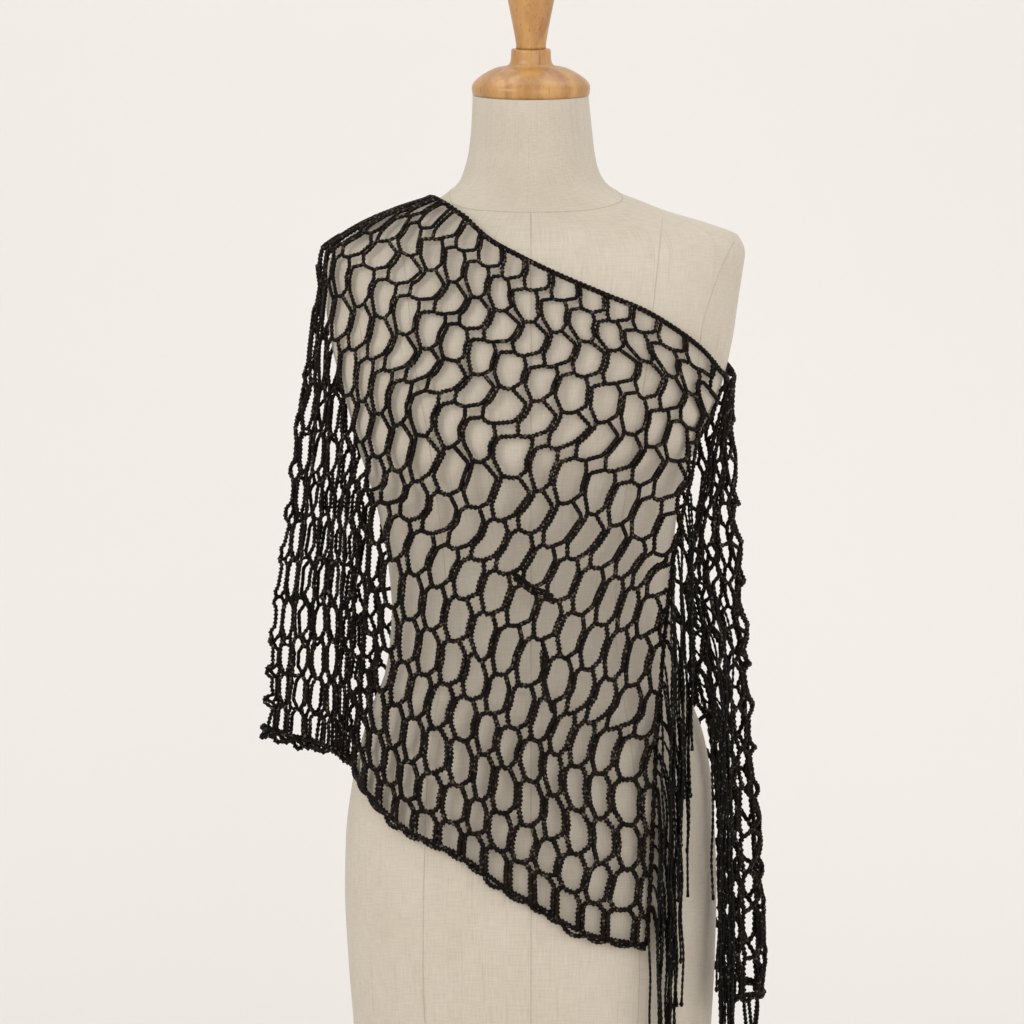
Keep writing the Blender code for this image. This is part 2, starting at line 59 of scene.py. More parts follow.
# Camera and picture. The picture is 1024 pixels wide and shows 0.92 mm of the axis plane in a pixel.
PICTURE = 1024
PIXEL = 0.92
AXIS_PIXEL = 531.0
CAMERA_DISTANCE = 4000.0
CAMERA_HEIGHT = 706.56
SENSOR = 36.0

# Seeds of the random unevenness
NET_SEED = 50
GUSSET_SEED = 7
NECKLINE_SEED = 5
HEM_SEED = 145
SCALLOP_SEED = 4
FRINGE_SEEDS = {"front": 11, "back": 12}
STRAND_SEED = 21
KNOT_SEED = 31
SEAM_SEED = 60

# How the net hangs clear of the form, how far its fold and right side stand out past the body, how far its
# short end turns in at least, and the distance across over which the empty sleeve and side thicken
WIDTH_CLEARANCE = 4.0
DEPTH_CLEARANCE = 4.5
LIFT = 3.0
OUTER_CLEARANCE = 1.5
LEAST_TURN_IN = 2.0
FLAP_WIDTH = 70.0

# Yarn: points in a ring, turn from ring to ring, how far its strands stand out, how it swells along its
# length, and the size of its end rings. A random turn is drawn from 0 to ANY_TURN.
YARN_SIDES = 6
TWIST = math.radians(60.0)
LOBE = 0.27
SWELL = 0.12
SWELL_TURN = 2.1
END_RING = 0.6
ANY_TURN = 6.28
RING_SPACING = 1.25
BACK_RING_SPACING = 1.6
FRINGE_RING_SPACING = 2.0
SEAM_RING_SPACING = 3.0

# Chains of the net: radius at the neckline, and at the hem on the front, in the sleeve and on the back, how
# soon they reach that on the way down, and how far out a chain lies for each millimetre that it is thicker
CHAIN_RADIUS = 1.72
LOW_CHAIN_RADIUS = 2.35
SLEEVE_CHAIN_RADIUS = 1.75
BACK_CHAIN_RADIUS = 2.25
THICKENING = 1.3
THICK_LIFT = 2.4
# Half the gap of a pair of chains, also at the edges, how it varies, how much wider the lowest pair is, and
# how far out a pair lies
BAR_HALF_GAP = 1.8
BAR_FOOT_HALF_GAP = 2.2
BAR_VARIES = (0.85, 1.3)
LAST_BAR = 1.25
BAR_OUT = (-0.3, 0.3)
# Short chains along the rows: least width in columns, shares of it at which they sag, sag in rows, and how
# far out they lie
LEAST_LINK = 0.05
SAG_SHARES = (0.3, 0.7)
LINK_SAG = (0.01, 0.05)
LINK_OUT = (-0.3, 0.4)

# Edgings: radii, how far two crossing chains swing aside, the length of a crossing and how far it rises, and
# how far in the crossing chains of the short ends lie. JUST_INSIDE is the share of the way out to a short end
# from which its direction off the cloth is taken.
EDGING_RADIUS = 1.6
SELVEDGE_RADIUS = 1.4
CROSSING_SWING = 1.2
NECKLINE_CROSSING = (9.0, 0.8)
SELVEDGE_CROSSING = (19.0, 0.6)
SELVEDGE_INSET = 0.6
JUST_INSIDE = 0.99
# Hem: radii, widths and drops of its scallops, which are deeper left of the sleeve's edge, and the gap, the
# waves and the distance out of its two chains
HEM_RADIUS = 2.1
HEM_END_RADIUS = 1.7
SCALLOPS = (17.0, 29.0)
SCALLOP_DROPS = (2.6, 5.2)
SLEEVE_EDGE = -185.0
SLEEVE_SCALLOP = 1.7
HEM_GAP = 0.9
HEM_WAVE = 3.1
HEM_WAVE_DEPTH = 0.15
HEM_OUT = 0.5
# Loose ends of the hem: how far they sway, the length of a wave, and the fall over which they begin to
END_SWAY = 1.6
END_WAVE = 13.0
END_SWAY_GROWS = 20.0
# Knot: turns, steps in a turn, size of the first turn and how much each further one grows, how far a turn
# bends out of its plane, radius of its yarn, and how far inside its box it lies
KNOT_TURNS = 7
KNOT_STEPS = 18
KNOT_CORE = 0.86
KNOT_GROWS = 0.02
KNOT_BEND = 0.15
KNOT_YARN_RADIUS = 1.35
KNOT_INSET = 1.7

# Fringe: radius of a strand, half the gap of a pair, width and depth of the bunches that the strands hang
# in, spacing of the back strands, how far off the short end, outward and in a strand starts, and how far back
# across the cloth the direction off that end is taken from
FRINGE_RADIUS = 1.1
FRINGE_HALF_GAP = 1.25
FRINGE_BUNCH = 9.3
FRINGE_BUNCHING = 1.9
BACK_STRAND_SPACING = 2.6
START_OFF = 1.75
START_OUTWARD = 1.2
START_IN = 3.0
PLACE_BEFORE_END = 0.03
# How a strand comes to hang in its layer: falls near its start with their share of the way there, and the
# shares of its whole fall at which it hangs there
FIRST_FALLS = ((9.0, 0.40), (30.0, 0.90))
LOWER_FALLS = (0.38, 0.70, 1.0)
# Waves of a strand, the fall over which they grow, their depth for their width, turns of a pair, how much
# shorter its second strand may be, and the small knot at the end of a strand
STRAND_WAVES = (11.0, 17.0)
WAVES_GROW = 25.0
WAVE_DEPTH = 0.6
PAIR_TURNS = (38.0, 60.0)
PAIR_SHORTER = 16.0
END_KNOT = ((0.0, 0.0, 3.4), (0.0, 0.0, -1.4))
END_KNOT_RADIUS = 1.9

# Seams of the form. Columns: height, distance from the middle; then share of the way, height and distance
# from the middle.
SEAM_RADIUS = 0.36
NECK_SEAM_SIDE = 1004.0
NECK_SEAM_DROP = 25.0
PRINCESS_SEAM = (
    (179, 92), (300, 97), (450, 94), (616, 76), (760, 90), (830, 103), (898, 111), (975, 120),
)
ARMHOLE_SEAM = (
    (0, 954, 186), (0.15, 935, 176), (0.35, 905, 164), (0.55, 875, 155), (0.75, 840, 151), (1, 800, 160),
)

# The lattice of the net. Columns of holes run from the fold both ways, and rows from the neckline down.
# A column line begins BEGIN_NEAR_END from the short end, and has no hole nearer to it than NEAR_END. The rows
# of the back are even from the place EVEN_FROM on. Past the short end the places grow by PAST_END.
FOLD_COLUMN = -4.0
FRONT_END = 16.5
BACK_END = -28.0
TOP_ROW = -0.5
BOTTOM_ROW = 14.5
GUSSET_ROWS = 14
LATTICE_STEP = 0.25
BACK_ROWS = 15.0
EVEN_FROM = -0.3
PAST_END = 0.004
NEAR_END = 0.3
BEGIN_NEAR_END = 0.1
# The piece of the net that each column line belongs to. Columns: name, first column, column it stops before.
NET_PIECES = (
    ("back_net_side", BACK_END - 1.0, -21.0),
    ("back_net_middle", -21, -11),
    ("back_net_sleeve", -11.0, FOLD_COLUMN),
    ("front_net_sleeve", FOLD_COLUMN, 3.0),
    ("front_net_middle", 3, 10),
    ("front_net_side", 10.0, FRONT_END + 1.0),
)
# Radius of the chains at the hem. Columns: column of the net, radius.
LOW_RADII = (
    (BACK_END, BACK_CHAIN_RADIUS), (-14.0, BACK_CHAIN_RADIUS), (-9.0, SLEEVE_CHAIN_RADIUS),
    (1.0, SLEEVE_CHAIN_RADIUS), (3.0, LOW_CHAIN_RADIUS), (FRONT_END, LOW_CHAIN_RADIUS),
)

# Loose ends under the right corner of the back hem. Columns: column of the net, length.
HEM_ENDS = (
    (-23.2, 84), (-23.5, 90), (-24.4, 96), (-24.7, 92), (-25.9, 88), (-26.2, 95),
)

# How unevenly the small openings lie, in columns and rows: on the front, and on the looser back half.
FRONT_UNEVEN = 0.03
BACK_UNEVEN = 0.09
# How much their width and height vary, their usual half width in columns and their least in millimetres,
# and the least width of a hole that they are measured by
GUSSET_WIDE = (0.88, 1.15)
GUSSET_TALL = (0.88, 1.18)
GUSSET_HALF_WIDTH = 0.24
LEAST_HALF_WIDTH = 1.7
LEAST_PITCH = 3.0
# Corners of the small openings where four large holes meet, on even rows, on odd rows and on all the rows
# from LOW_ROWS down: top, left, bottom and right, each as columns and rows from its middle.
LOW_ROWS = 6
SQUARE_GUSSET = ((0.04, -0.26), (-0.39, -0.03), (-0.14, 0.20), (0.27, 0.01))
POINTED_GUSSET = ((-0.05, -0.26), (-0.31, -0.06), (0.24, 0.17), (0.29, 0.03))
LOW_GUSSET = ((0.02, -0.25), (-0.33, -0.04), (0.03, 0.19), (0.30, 0.01))

# Places of every second column of holes on every second row of the front.
# Columns: row, then the place of column -2, 0, 2, 4, 6, 8, 10, 12 and 14.
COLUMN_KEYS = (-2, 0, 2, 4, 6, 8, 10, 12, 14)
NET_COLUMNS = (
    (0, -0.82, -0.56, -0.29, -0.12, 0.02, 0.18, 0.36, 0.59, 1.05),
    (2, -0.76, -0.5, -0.32, -0.17, -0.01, 0.17, 0.39, 0.65, 0.97),
    (4, -0.77, -0.56, -0.39, -0.24, -0.08, 0.12, 0.35, 0.56, 0.85),
    (6, -0.71, -0.57, -0.44, -0.3, -0.14, 0.01, 0.19, 0.37, 0.51),
    (8, -0.7, -0.575, -0.47, -0.355, -0.225, -0.09, 0.05, 0.225, 0.4),
    (10, -0.7, -0.565, -0.47, -0.36, -0.25, -0.13, -0.025, 0.105, 0.25),
    (12, -0.69, -0.54, -0.475, -0.385, -0.28, -0.16, -0.06, 0.075, 0.24),
    (14, -0.68, -0.52, -0.48, -0.39, -0.3, -0.185, -0.08, 0.04, 0.2),
)
# The odd rows of holes stand aside from a place midway between their neighbours, by these columns.
# Columns: row, then the shift at column 1, 4, 7, 8, 10, 11 and 14.
SHIFT_KEYS = (1, 4, 7, 8, 10, 11, 14)
ROW_SHIFTS = (
    (1, 0.15, -0.17, -0.22, -0.23, -0.27, -0.31, -0.3),
    (3, -0.31, -0.14, -0.11, -0.06, 0.08, 0.13, 0.2),
    (5, -0.2, -0.36, -0.3, -0.27, -0.19, -0.18, 0.2),
    (7, 0.4, 0.42, 0.32, 0.07, 0, -0.02, 0.05),
    (9, 0, -0.05, -0.06, -0.12, -0.18, 0.25, 0.4),
    (11, 0.1, 0.05, -0.2, -0.28, -0.2, -0.25, -0.27),
    (13, 0, 0.15, -0.06, -0.08, 0, -0.16, -0.1),
)
# Column at which each row of the front meets the short end; the columns past it begin lower down.
# Columns: row, column.
END_COLUMNS = (
    (-0.5, 13.6), (2, 13.2), (4, 13.1), (6, 14.6), (8, 15.4), (10, 16.5),
)
# Snags on the front, where pulled strands cross the holes. Each point: column, row and distance out.
SNAG_STRANDS = 3
SNAG_RADIUS = 1.5
SNAG_SPREAD = 0.07
SNAGS = (
    ((8.3, 7.45, 0.8), (8.8, 7.55, 2), (9.3, 7.58, 2.4), (9.5, 7.52, 2.4), (10.05, 7.5, 0.8)),
    ((10.35, 8.7, 0.8), (10.55, 9.1, 2), (10.85, 9.4, 2.2), (11.25, 9.65, 0.8)),
)
# Heights of rows of holes of the front.
# Columns: row, then the height at the place -1, -0.45, -0.2, 0 and 0.25, and the share down the short end.
PLACE_KEYS = (-1.0, -0.45, -0.2, 0.0, 0.25)
NET_ROWS = (
    (0, 992, 980, 955, 921, 889, 0.02),
    (2, 972, 934, 889, 860, 837, 0.09),
    (4, 912, 858, 821, 791, 768, 0.22),
    (6, 812, 779, 742, 708, 678, 0.385),
    (8, 726, 705, 656, 619, 585, 0.52),
    (10, 647, 625, 572, 527, 494, 0.7),
    (12, 575, 549, 489, 446, 412, 0.85),
    (13, 548, 512, 449, 405, 370, 0.92),
    (14, 523, 482, 419, 377, 340, 0.985),
)
# The back half. Columns: columns past the fold, place.
BACK_COLUMNS = (
    (0, -1), (0.5, -0.846), (1, -0.781), (2, -0.689), (4, -0.556), (6, -0.45), (18, 0.58), (19, 0.659),
    (20, 0.76), (20.5, 0.831), (21, 1), (21.5, 1.373), (22, 1.535), (23, 1.784), (24, 2),
)

# The dress form, a row for each level.
# Columns: height, reach to the left, reach to the right, depth in front, depth behind, centre forward (-)
# or back (+), squareness.
FORM = (
    (179, 159, 161, 98, 103, 0, 2.3),
    (237, 163, 165.6, 104, 110, 0, 2.3),
    (300, 168, 169, 109, 117, 0, 2.3),
    (363, 171, 170.5, 112, 122, 0, 2.3),
    (410, 170, 169, 112, 121, 0, 2.3),
    (455, 164.7, 166.5, 110, 117, 0, 2.3),
    (500, 155, 159, 106, 108, 0, 2.25),
    (532, 145, 148, 102, 99, 0, 2.2),
    (560, 134, 138, 98, 93, 0, 2.2),
    (590, 129.5, 132, 95, 87, 0, 2.2),
    (616, 128, 128.5, 93, 84, 0, 2.2),
    (662, 131.6, 130, 98, 83, 0, 2.2),
    (700, 139, 133.5, 108, 86, 0, 2.2),
    (736, 149, 140, 120, 94, 0, 2.2),
    (760, 157, 149, 125, 100, 0, 2.2),
    (790, 165, 163, 123, 106, 0, 2.25),
    (830, 176, 177, 114, 110, 0, 2.35),
    (870, 185, 186, 103, 110, 1, 2.5),
    (905, 189, 191, 90, 107, 2, 2.55),
    (930, 187.5, 195, 78, 98, 3, 2.55),
    (945, 183, 197, 69, 90, 4, 2.5),
    (961, 167, 191, 61, 82, 6, 2.4),
    (972, 146, 164, 57, 76, 6, 2.3),
    (984, 116.5, 124, 55, 71, 6, 2.2),
    (993, 89, 101, 56, 67, 6, 2.15),
    (1000, 78, 83, 58, 65, 6, 2.1),
    (1011, 66, 68, 60, 62, 4, 2.05),
    (1023, 61, 61.6, 59, 60, 0, 2),
    (1037, 57.5, 58.5, 57, 57, -3, 2),
    (1058, 55, 56, 54.5, 54.5, -8, 2),
    (1089, 53.4, 52.6, 53, 53, -14, 2),
)
NECK_LEAN = math.radians(10.5)
LEAN_STARTS = 1005.0

# How far the net hangs from the axis, a row for each level.
# Columns: height, reach of the shoulder fold (left), reach of the back half (right), body width left,
# body width right, depth in front, depth behind, thickness of the empty sleeve, of the right side.
HANG = (
    (230, 260, 211, 168, 172, 114, 124, 34, 46),
    (300, 256, 213, 172, 174, 116, 127, 34, 46),
    (363, 253, 211, 175, 175, 118, 129, 34, 45),
    (455, 249, 207, 170, 171, 120, 125, 34, 42),
    (510, 245, 204, 161, 163, 122, 119, 34, 40),
    (600, 237.5, 199, 160, 158, 126, 115, 36, 36),
    (700, 226, 192, 160, 157, 130, 115, 39, 34),
    (760, 220, 188, 162, 156, 131, 116, 41, 32),
    (810, 213.5, 186.5, 170, 172, 128, 116, 42, 30),
    (832, 209, 187, 178, 184, 118, 116, 42, 28),
    (850, 206.5, 190, 182, 188, 112, 116, 40, 26),
    (902, 199, 196, 193, 195, 95, 115.5, 42, 20),
    (947, 194.5, 199, 189, 200, 74, 103, 34, 16),
    (964, 172, 190, 168, 190, 62, 84, 18, 12),
    (987, 120.5, 124, 118, 122, 57, 74, 10, 8),
    (996.5, 91.5, 96, 89, 94, 58, 70, 8, 6),
    (1005, 84, 84, 82, 82, 60, 70, 6, 6),
)

# The four edges of the front half. Columns: share of the edge, height, position across.
# A position of -1 is the shoulder fold, 0 the middle of the front and 1 the right side.
FRONT_NECKLINE = (
    (0, 996.5, -1), (0.03, 994, -0.72), (0.06, 988.5, -0.48), (0.1, 975.5, -0.27), (0.2, 944, -0.075),
    (0.36, 922, 0.066), (0.52, 902, 0.222), (0.65, 888.5, 0.346), (0.78, 869, 0.492), (0.89, 849, 0.645),
    (0.95, 835, 0.755), (1, 827, 0.9),
)
FRONT_HEM = (
    (0, 510.5, -1), (0.1, 501, -0.672), (0.2, 488, -0.5), (0.27, 467, -0.445), (0.39, 425, -0.305),
    (0.52, 400, -0.163), (0.64, 368, -0.046), (0.73, 353, 0.032), (0.87, 328, 0.203), (1, 318, 0.405),
)
FRONT_SHORT_END = (
    (0, 827, 0.9), (0.08, 789, 0.86), (0.17, 745, 0.78), (0.25, 707, 0.68), (0.34, 662, 0.605),
    (0.46, 601, 0.555), (0.58, 534, 0.508), (0.76, 449, 0.448), (1, 318, 0.405),
)

# The edges of the back half. Past the right side (1) the cloth turns in to its short end (2).
BACK_NECKLINE = (
    (0, 996.5, -1), (0.03, 994.5, -0.74), (0.06, 990, -0.52), (0.1, 979, -0.3), (0.2, 954, -0.08),
    (0.38, 925, 0.13), (0.55, 899, 0.33), (0.72, 871, 0.56), (0.86, 846, 0.8), (0.94, 831, 1), (1, 826, 2),
)
BACK_HEM = (
    (0, 510.5, -1), (0.08, 497, -0.672), (0.16, 484, -0.5), (0.3, 428, -0.29), (0.46, 372, -0.06),
    (0.62, 326, 0.18), (0.78, 289, 0.52), (0.91, 268, 1), (1, 266, 2),
)
BACK_SHORT_END = (
    (0, 826, 2), (1, 266, 2),
)
# How the right end turns in. Columns: height, reach of the short end, depth in front of the axis.
TURN_IN = (
    (240, 173, 52), (363, 172, 52), (430, 170, 50), (500, 163.5, 46), (584, 146, 42), (640, 143, 40),
    (700, 151, 38), (780, 168, 30), (832, 184.5, 16),
)

# Upright folds of the net. Columns: middle, half width across, depth at the hem, share of the way down
# at which the fold begins, half it belongs to.
FOLDS = (
    (-0.9, 0.042, 5, 0.2, "front"),
    (-0.8, 0.042, -6, 0.22, "front"),
    (-0.705, 0.04, 6.5, 0.22, "front"),
    (-0.62, 0.038, -6.5, 0.25, "front"),
    (-0.545, 0.034, 7, 0.3, "front"),
    (-0.47, 0.034, -5, 0.35, "front"),
    (-0.24, 0.07, 3, 0.55, "front"),
    (0.12, 0.08, 3, 0.6, "front"),
    (0.34, 0.05, 3.5, 0.6, "front"),
    (-0.89, 0.045, -5, 0.2, "back"),
    (-0.78, 0.045, 6, 0.22, "back"),
    (-0.68, 0.042, -6, 0.25, "back"),
    (-0.58, 0.04, 6.5, 0.3, "back"),
    (-0.48, 0.04, -5, 0.35, "back"),
    (-0.15, 0.09, 4, 0.5, "back"),
    (0.25, 0.08, 5, 0.4, "back"),
    (0.45, 0.055, -5, 0.3, "back"),
    (0.58, 0.05, 6.5, 0.25, "back"),
    (0.7, 0.045, -5, 0.25, "back"),
    (0.81, 0.045, 6, 0.2, "back"),
    (0.93, 0.05, -3.5, 0.2, "back"),
    (1.25, 0.14, 3, 0.25, "back"),
    (1.6, 0.14, -3, 0.25, "back"),
)

# The two fringes. The highest strands hang outermost, so that no strand crosses another.
# Reach of the first strand of each layer, from the outermost layer in.
FRONT_LAYERS = (146.0, 140.0, 134.5, 130.0)
BACK_LAYERS = (179.0, 181.0, 183.0, 184.0)
LAYER_STRANDS = 6
STRAND_SPACING = 4.2
LAYER_SPACING = 4.6
# Columns: share of the short end where the strands begin and stop, depth of the innermost layer,
# reach at which that depth holds, how much nearer the axis it is for each millimetre further out,
# least and greatest fall.
FRONT_FRINGE = (0.20, 0.985, 107.0, 110.0, 0.9, 230.0, 268.0)
BACK_FRINGE = (0.30, 0.985, 64.0, 110.0, 0.0, 200.0, 262.0)
FLOOR_CLEARANCE = 6.0

# The turned wood and the stand. Columns: distance along the turned axis, radius.
CAP_PROFILE = (
    (0.4, 53.5), (6, 54.6), (11, 53.6), (17, 47), (23, 36.5), (25.5, 30), (26.6, 18.6), (41, 18.2),
    (42, 17.4),
)
FINIAL_PROFILE = (
    (42.3, 13.6), (47, 13.8), (58, 15.6), (74, 18.8), (92, 22.4), (102, 23.6), (112, 23), (121, 19.5),
    (127, 13), (130, 5),
)
POLE_PROFILE = (
    (12.3, 13), (178.7, 13),
)
BASE_PROFILE = (
    (0, 138), (2, 140), (8, 140), (12, 134),
)
# Smoothness: sides of the cap and the disc, of the finial, of the pole and of the form, the form's steps in
# height below and above the level of the shoulders, and the steps between two points of a turned profile
BROAD_SIDES = 96
FINIAL_SIDES = 80
POLE_SIDES = 48
FORM_SIDES = 128
FORM_STEP = 7.0
SHOULDER_STEP = 3.0
SHOULDER_LEVEL = 930.0
PROFILE_STEPS = 5

# Yarn colours. Columns: name, the yarn itself, brown depths and painted glints, small highlights painted into
# the colour at scattered spots.
YARNS = (
    ("black_net_yarn", (0.0022, 0.0014, 0.0009), (0.012, 0.0065, 0.0035), (0.115, 0.090, 0.068)),
    ("black_cord_yarn", (0.0020, 0.0014, 0.0009), (0.010, 0.006, 0.0035), (0.10, 0.088, 0.075)),
    ("black_fringe_yarn", (0.0018, 0.0014, 0.0010), (0.006, 0.0045, 0.003), (0.08, 0.072, 0.062)),
)

# Studio, in metres: half the width of the strip behind the stand, where it starts, where its curve starts,
# the curve's radius and steps, how far it lies above the floor, its top, and half the width of the floor
STRIP_HALF_WIDTH = 1.25
STRIP_FRONT = 1.1
CURVE_FRONT = 1.2
CURVE_RADIUS = 1.4
CURVE_STEPS = 12
STRIP_LIFT = 0.001
STRIP_TOP = 2.1
FLOOR_HALF_WIDTH = 6.0
# Lights. Columns: name, place, point aimed at, width, height, power, colour.
LIGHTS = (
    ("key", (-2.3, -2.4, 1.9), (0, 0, 0.75), 1.2, 1.4, 29, (1, 0.995, 0.985)),
    ("fill", (1.3, -3.5, 0.8), (0, 0, 0.55), 2.4, 2.4, 30, (1, 0.995, 0.99)),
    ("right", (3, -1.2, 0.9), (0, 0, 0.6), 1.6, 2.2, 9, (1, 0.995, 0.99)),
    ("backdrop", (0, 0.4, 4.2), (0, 2.4, 1), 5, 2, 50, (1, 1, 1)),
)
WORLD_COLOUR = (0.93, 0.92, 0.90, 1.0)
WORLD_STRENGTH = 0.78


def value(table, at, column):
    """Smooth value of one column of a table at a place given in its first column."""
    keys = [row[0] for row in table]
    last = len(keys) - 1
    if at <= keys[0]:
        return table[0][column]
    if at >= keys[last]:
        return table[last][column]
    low = max(index for index in range(last) if keys[index] <= at)
    slopes = [
        (table[index + 1][column] - table[index][column]) / (keys[index + 1] - keys[index])
        for index in range(last)
    ]

    def tangent(index):
        if index == 0:
            return slopes[0]
        if index == last:
            return slopes[last - 1]
        before, after = slopes[index - 1], slopes[index]
        if before * after <= 0.0:
            return 0.0
        return 2.0 * before * after / (before + after)

    step = keys[low + 1] - keys[low]
    t = (at - keys[low]) / step
    start, end = table[low][column], table[low + 1][column]
    return (
        (2.0 * t ** 3 - 3.0 * t ** 2 + 1.0) * start
        + (t ** 3 - 2.0 * t ** 2 + t) * step * tangent(low)
        + (3.0 * t ** 2 - 2.0 * t ** 3) * end
        + (t ** 3 - t ** 2) * step * tangent(low + 1)
    )


def ease(at, start, stop):
    """0 before start, 1 after stop and smooth between."""
    t = min(1.0, max(0.0, (at - start) / (stop - start)))
    return t * t * (3.0 - 2.0 * t)


def rounded_depth(across, reach, depth, power):
    """Depth of a rounded section at a distance from its middle."""
    share = min(1.0, abs(across) / reach)
    return depth * (1.0 - share ** power) ** (1.0 / power)


def form_point(height, angle):
    """Point of the dress form at a level, with the angle measured from the front towards the right."""
    left, right, front, back, shift, power = (value(FORM, height, column) for column in range(1, 7))
    sine, cosine = math.sin(angle), math.cos(angle)
    reach = right if sine > 0.0 else left
    depth = front if cosine > 0.0 else back
    x = reach * math.copysign(abs(sine) ** (2.0 / power), sine)
    y = -depth * math.copysign(abs(cosine) ** (2.0 / power), cosine)
    lean = math.tan(NECK_LEAN) * ease(height, LEAN_STARTS, FORM[-1][0])
    return Vector((x, y + shift, height + lean * y))


def body_widths(height):
    """Half widths of the net round the body, left and right, clear of the form."""
    under = height - LIFT
    left = max(value(HANG, height, 3), value(FORM, under, 1) + WIDTH_CLEARANCE)
    right = max(value(HANG, height, 4), value(FORM, under, 2) + WIDTH_CLEARANCE)
    return left, right


def body_depths(height):
    """Depths of the net in front and behind, clear of the form, and the squareness of its section."""
    under = height - LIFT
    shift = value(FORM, under, 5)
    front = max(value(HANG, height, 5), value(FORM, under, 3) - shift + DEPTH_CLEARANCE)
    back = max(value(HANG, height, 6), value(FORM, under, 4) + shift + DEPTH_CLEARANCE)
    return front, back, value(FORM, under, 6)


def outer_reach(height, width, column):
    """Reach of the shoulder fold or of the right side of the back, clear of the body."""
    return max(value(HANG, height, column), width + OUTER_CLEARANCE)


def net_depth(x, height, side):
    """Depth of the net in front of or behind the axis, at a distance across."""
    left, right = body_widths(height)
    front, back, power = body_depths(height)
    body = rounded_depth(x, right if x > 0.0 else left, front if side == "front" else back, power)
    if x < 0.0:
        reach, thickness = outer_reach(height, left, 1), value(HANG, height, 7)
    elif side == "back":
        reach, thickness = outer_reach(height, right, 2), value(HANG, height, 8)
    else:
        return body
    flap = thickness * math.sqrt(max(0.0, 1.0 - (x / reach) ** 4)) * ease(abs(x), 0.0, FLAP_WIDTH)
    return (body ** 4 + flap ** 4) ** 0.25


def net_point(place, height, side):
    """Point of the even net surface at a place across and a height."""
    left, right = body_widths(height)
    if place < 0.0:
        reach = outer_reach(height, left, 1)
    else:
        reach = right if side == "front" else outer_reach(height, right, 2)
    if side == "front" or place <= 1.0:
        x = reach * math.sin(place * math.pi / 2)
        depth = net_depth(x, height, side)
    else:
        turn = (place - 1.0) * math.pi / 2
        end = min(value(TURN_IN, height, 1), reach - LEAST_TURN_IN)
        x = reach - (reach - end) * (1.0 - math.cos(turn))
        depth = -value(TURN_IN, height, 2) * math.sin(turn)
    return Vector((x, -depth if side == "front" else depth, height))


def height_on(edge, place):
    """Height of an edge of a half at a place across."""
    return value(tuple((across, height) for _, height, across in edge), place, 1)


def net_share(place, height):
    """Share of the way from the front neckline down to the hem."""
    top, bottom = height_on(FRONT_NECKLINE, place), height_on(FRONT_HEM, place)
    return (top - height) / (top - bottom)


def front_row_knots(row):
    """Shares down at places across on a row of the front, and the place of the short end."""
    end_share = value(END_ROWS, row, 1)
    end_place = value(FRONT_SHORT_END, end_share, 2)
    if row <= TOP_ROW or row >= BOTTOM_ROW:
        return [(-1.0, end_share), (end_place, end_share)], end_place
    knots = [(place, value(ROW_SHARES, row, 1 + index)) for index, place in enumerate(PLACE_KEYS)]
    knots.append((end_place, net_share(end_place, value(FRONT_SHORT_END, end_share, 1))))
    return knots, end_place


def row_shares(row):
    """A row's number and the shares of the way down at which it crosses the places."""
    return (row[0], *(net_share(place, height) for place, height in zip(PLACE_KEYS, row[1:])))


ROW_SHARES = (
    (TOP_ROW, *(0.0 for _ in PLACE_KEYS)),
    *(row_shares(row) for row in NET_ROWS),
    (BOTTOM_ROW, *(1.0 for _ in PLACE_KEYS)),
)
END_ROWS = ((TOP_ROW, 0.0), *((row[0], row[6]) for row in NET_ROWS), (BOTTOM_ROW, 1.0))


def end_column(row):
    """Column at which a row of the front meets the short end."""
    return value(END_COLUMNS, row, 1)


def fold_knots(first):
    """Places of the columns next to the fold, evenly spaced as the front shows them."""
    reach = math.sin(first * math.pi / 2)
    knots = [(FOLD_COLUMN, -1.0)]
    for column in (FOLD_COLUMN + 0.5, FOLD_COLUMN + 1.0):
        share = (column - FOLD_COLUMN) / (COLUMN_KEYS[0] - FOLD_COLUMN)
        knots.append((column, math.asin(-1.0 + (reach + 1.0) * share) * 2 / math.pi))
    return knots


def row_shift(row, column):
    """How far the holes stand aside at a row and a column."""
    low = math.floor(row)
    shifts = []
    for whole in (low, low + 1):
        knots = [(FOLD_COLUMN, 0.0), (FRONT_END, 0.0)]
        for number, *numbers in ROW_SHIFTS:
            if number == whole:
                knots[1:1] = list(zip(SHIFT_KEYS, numbers))
        shifts.append(value(knots, column, 1))
    return shifts[0] + (shifts[1] - shifts[0]) * (row - low)


def lattice_point(place, share, neckline, hem, side):
    """Point of the net without folds, with its place across and its share of the way down."""
    top, bottom = height_on(neckline, place), height_on(hem, place)
    return (*net_point(place, top - share * (top - bottom), side), place, share)


def front_lattice(rows, columns):
    """Lattice points of the front, row by row."""
    points = []
    for row in rows:
        share_knots, end_place = front_row_knots(row)
        places = [value(NET_COLUMNS, row, 1 + index) for index in range(len(COLUMN_KEYS))]
        end = end_column(row)
        whole = [knot for knot in zip(COLUMN_KEYS, places) if knot[0] < end - NEAR_END]
        knots = [*fold_knots(places[0]), *whole, (end, end_place), (FRONT_END + 1.0, end_place + PAST_END)]
        line = []
        for column in columns:
            place = value(knots, column + row_shift(row, column), 1)
            share = value(share_knots, place, 1)
            line.append(lattice_point(place, share, FRONT_NECKLINE, FRONT_HEM, "front"))
        points.append(line)
    return np.array(points)


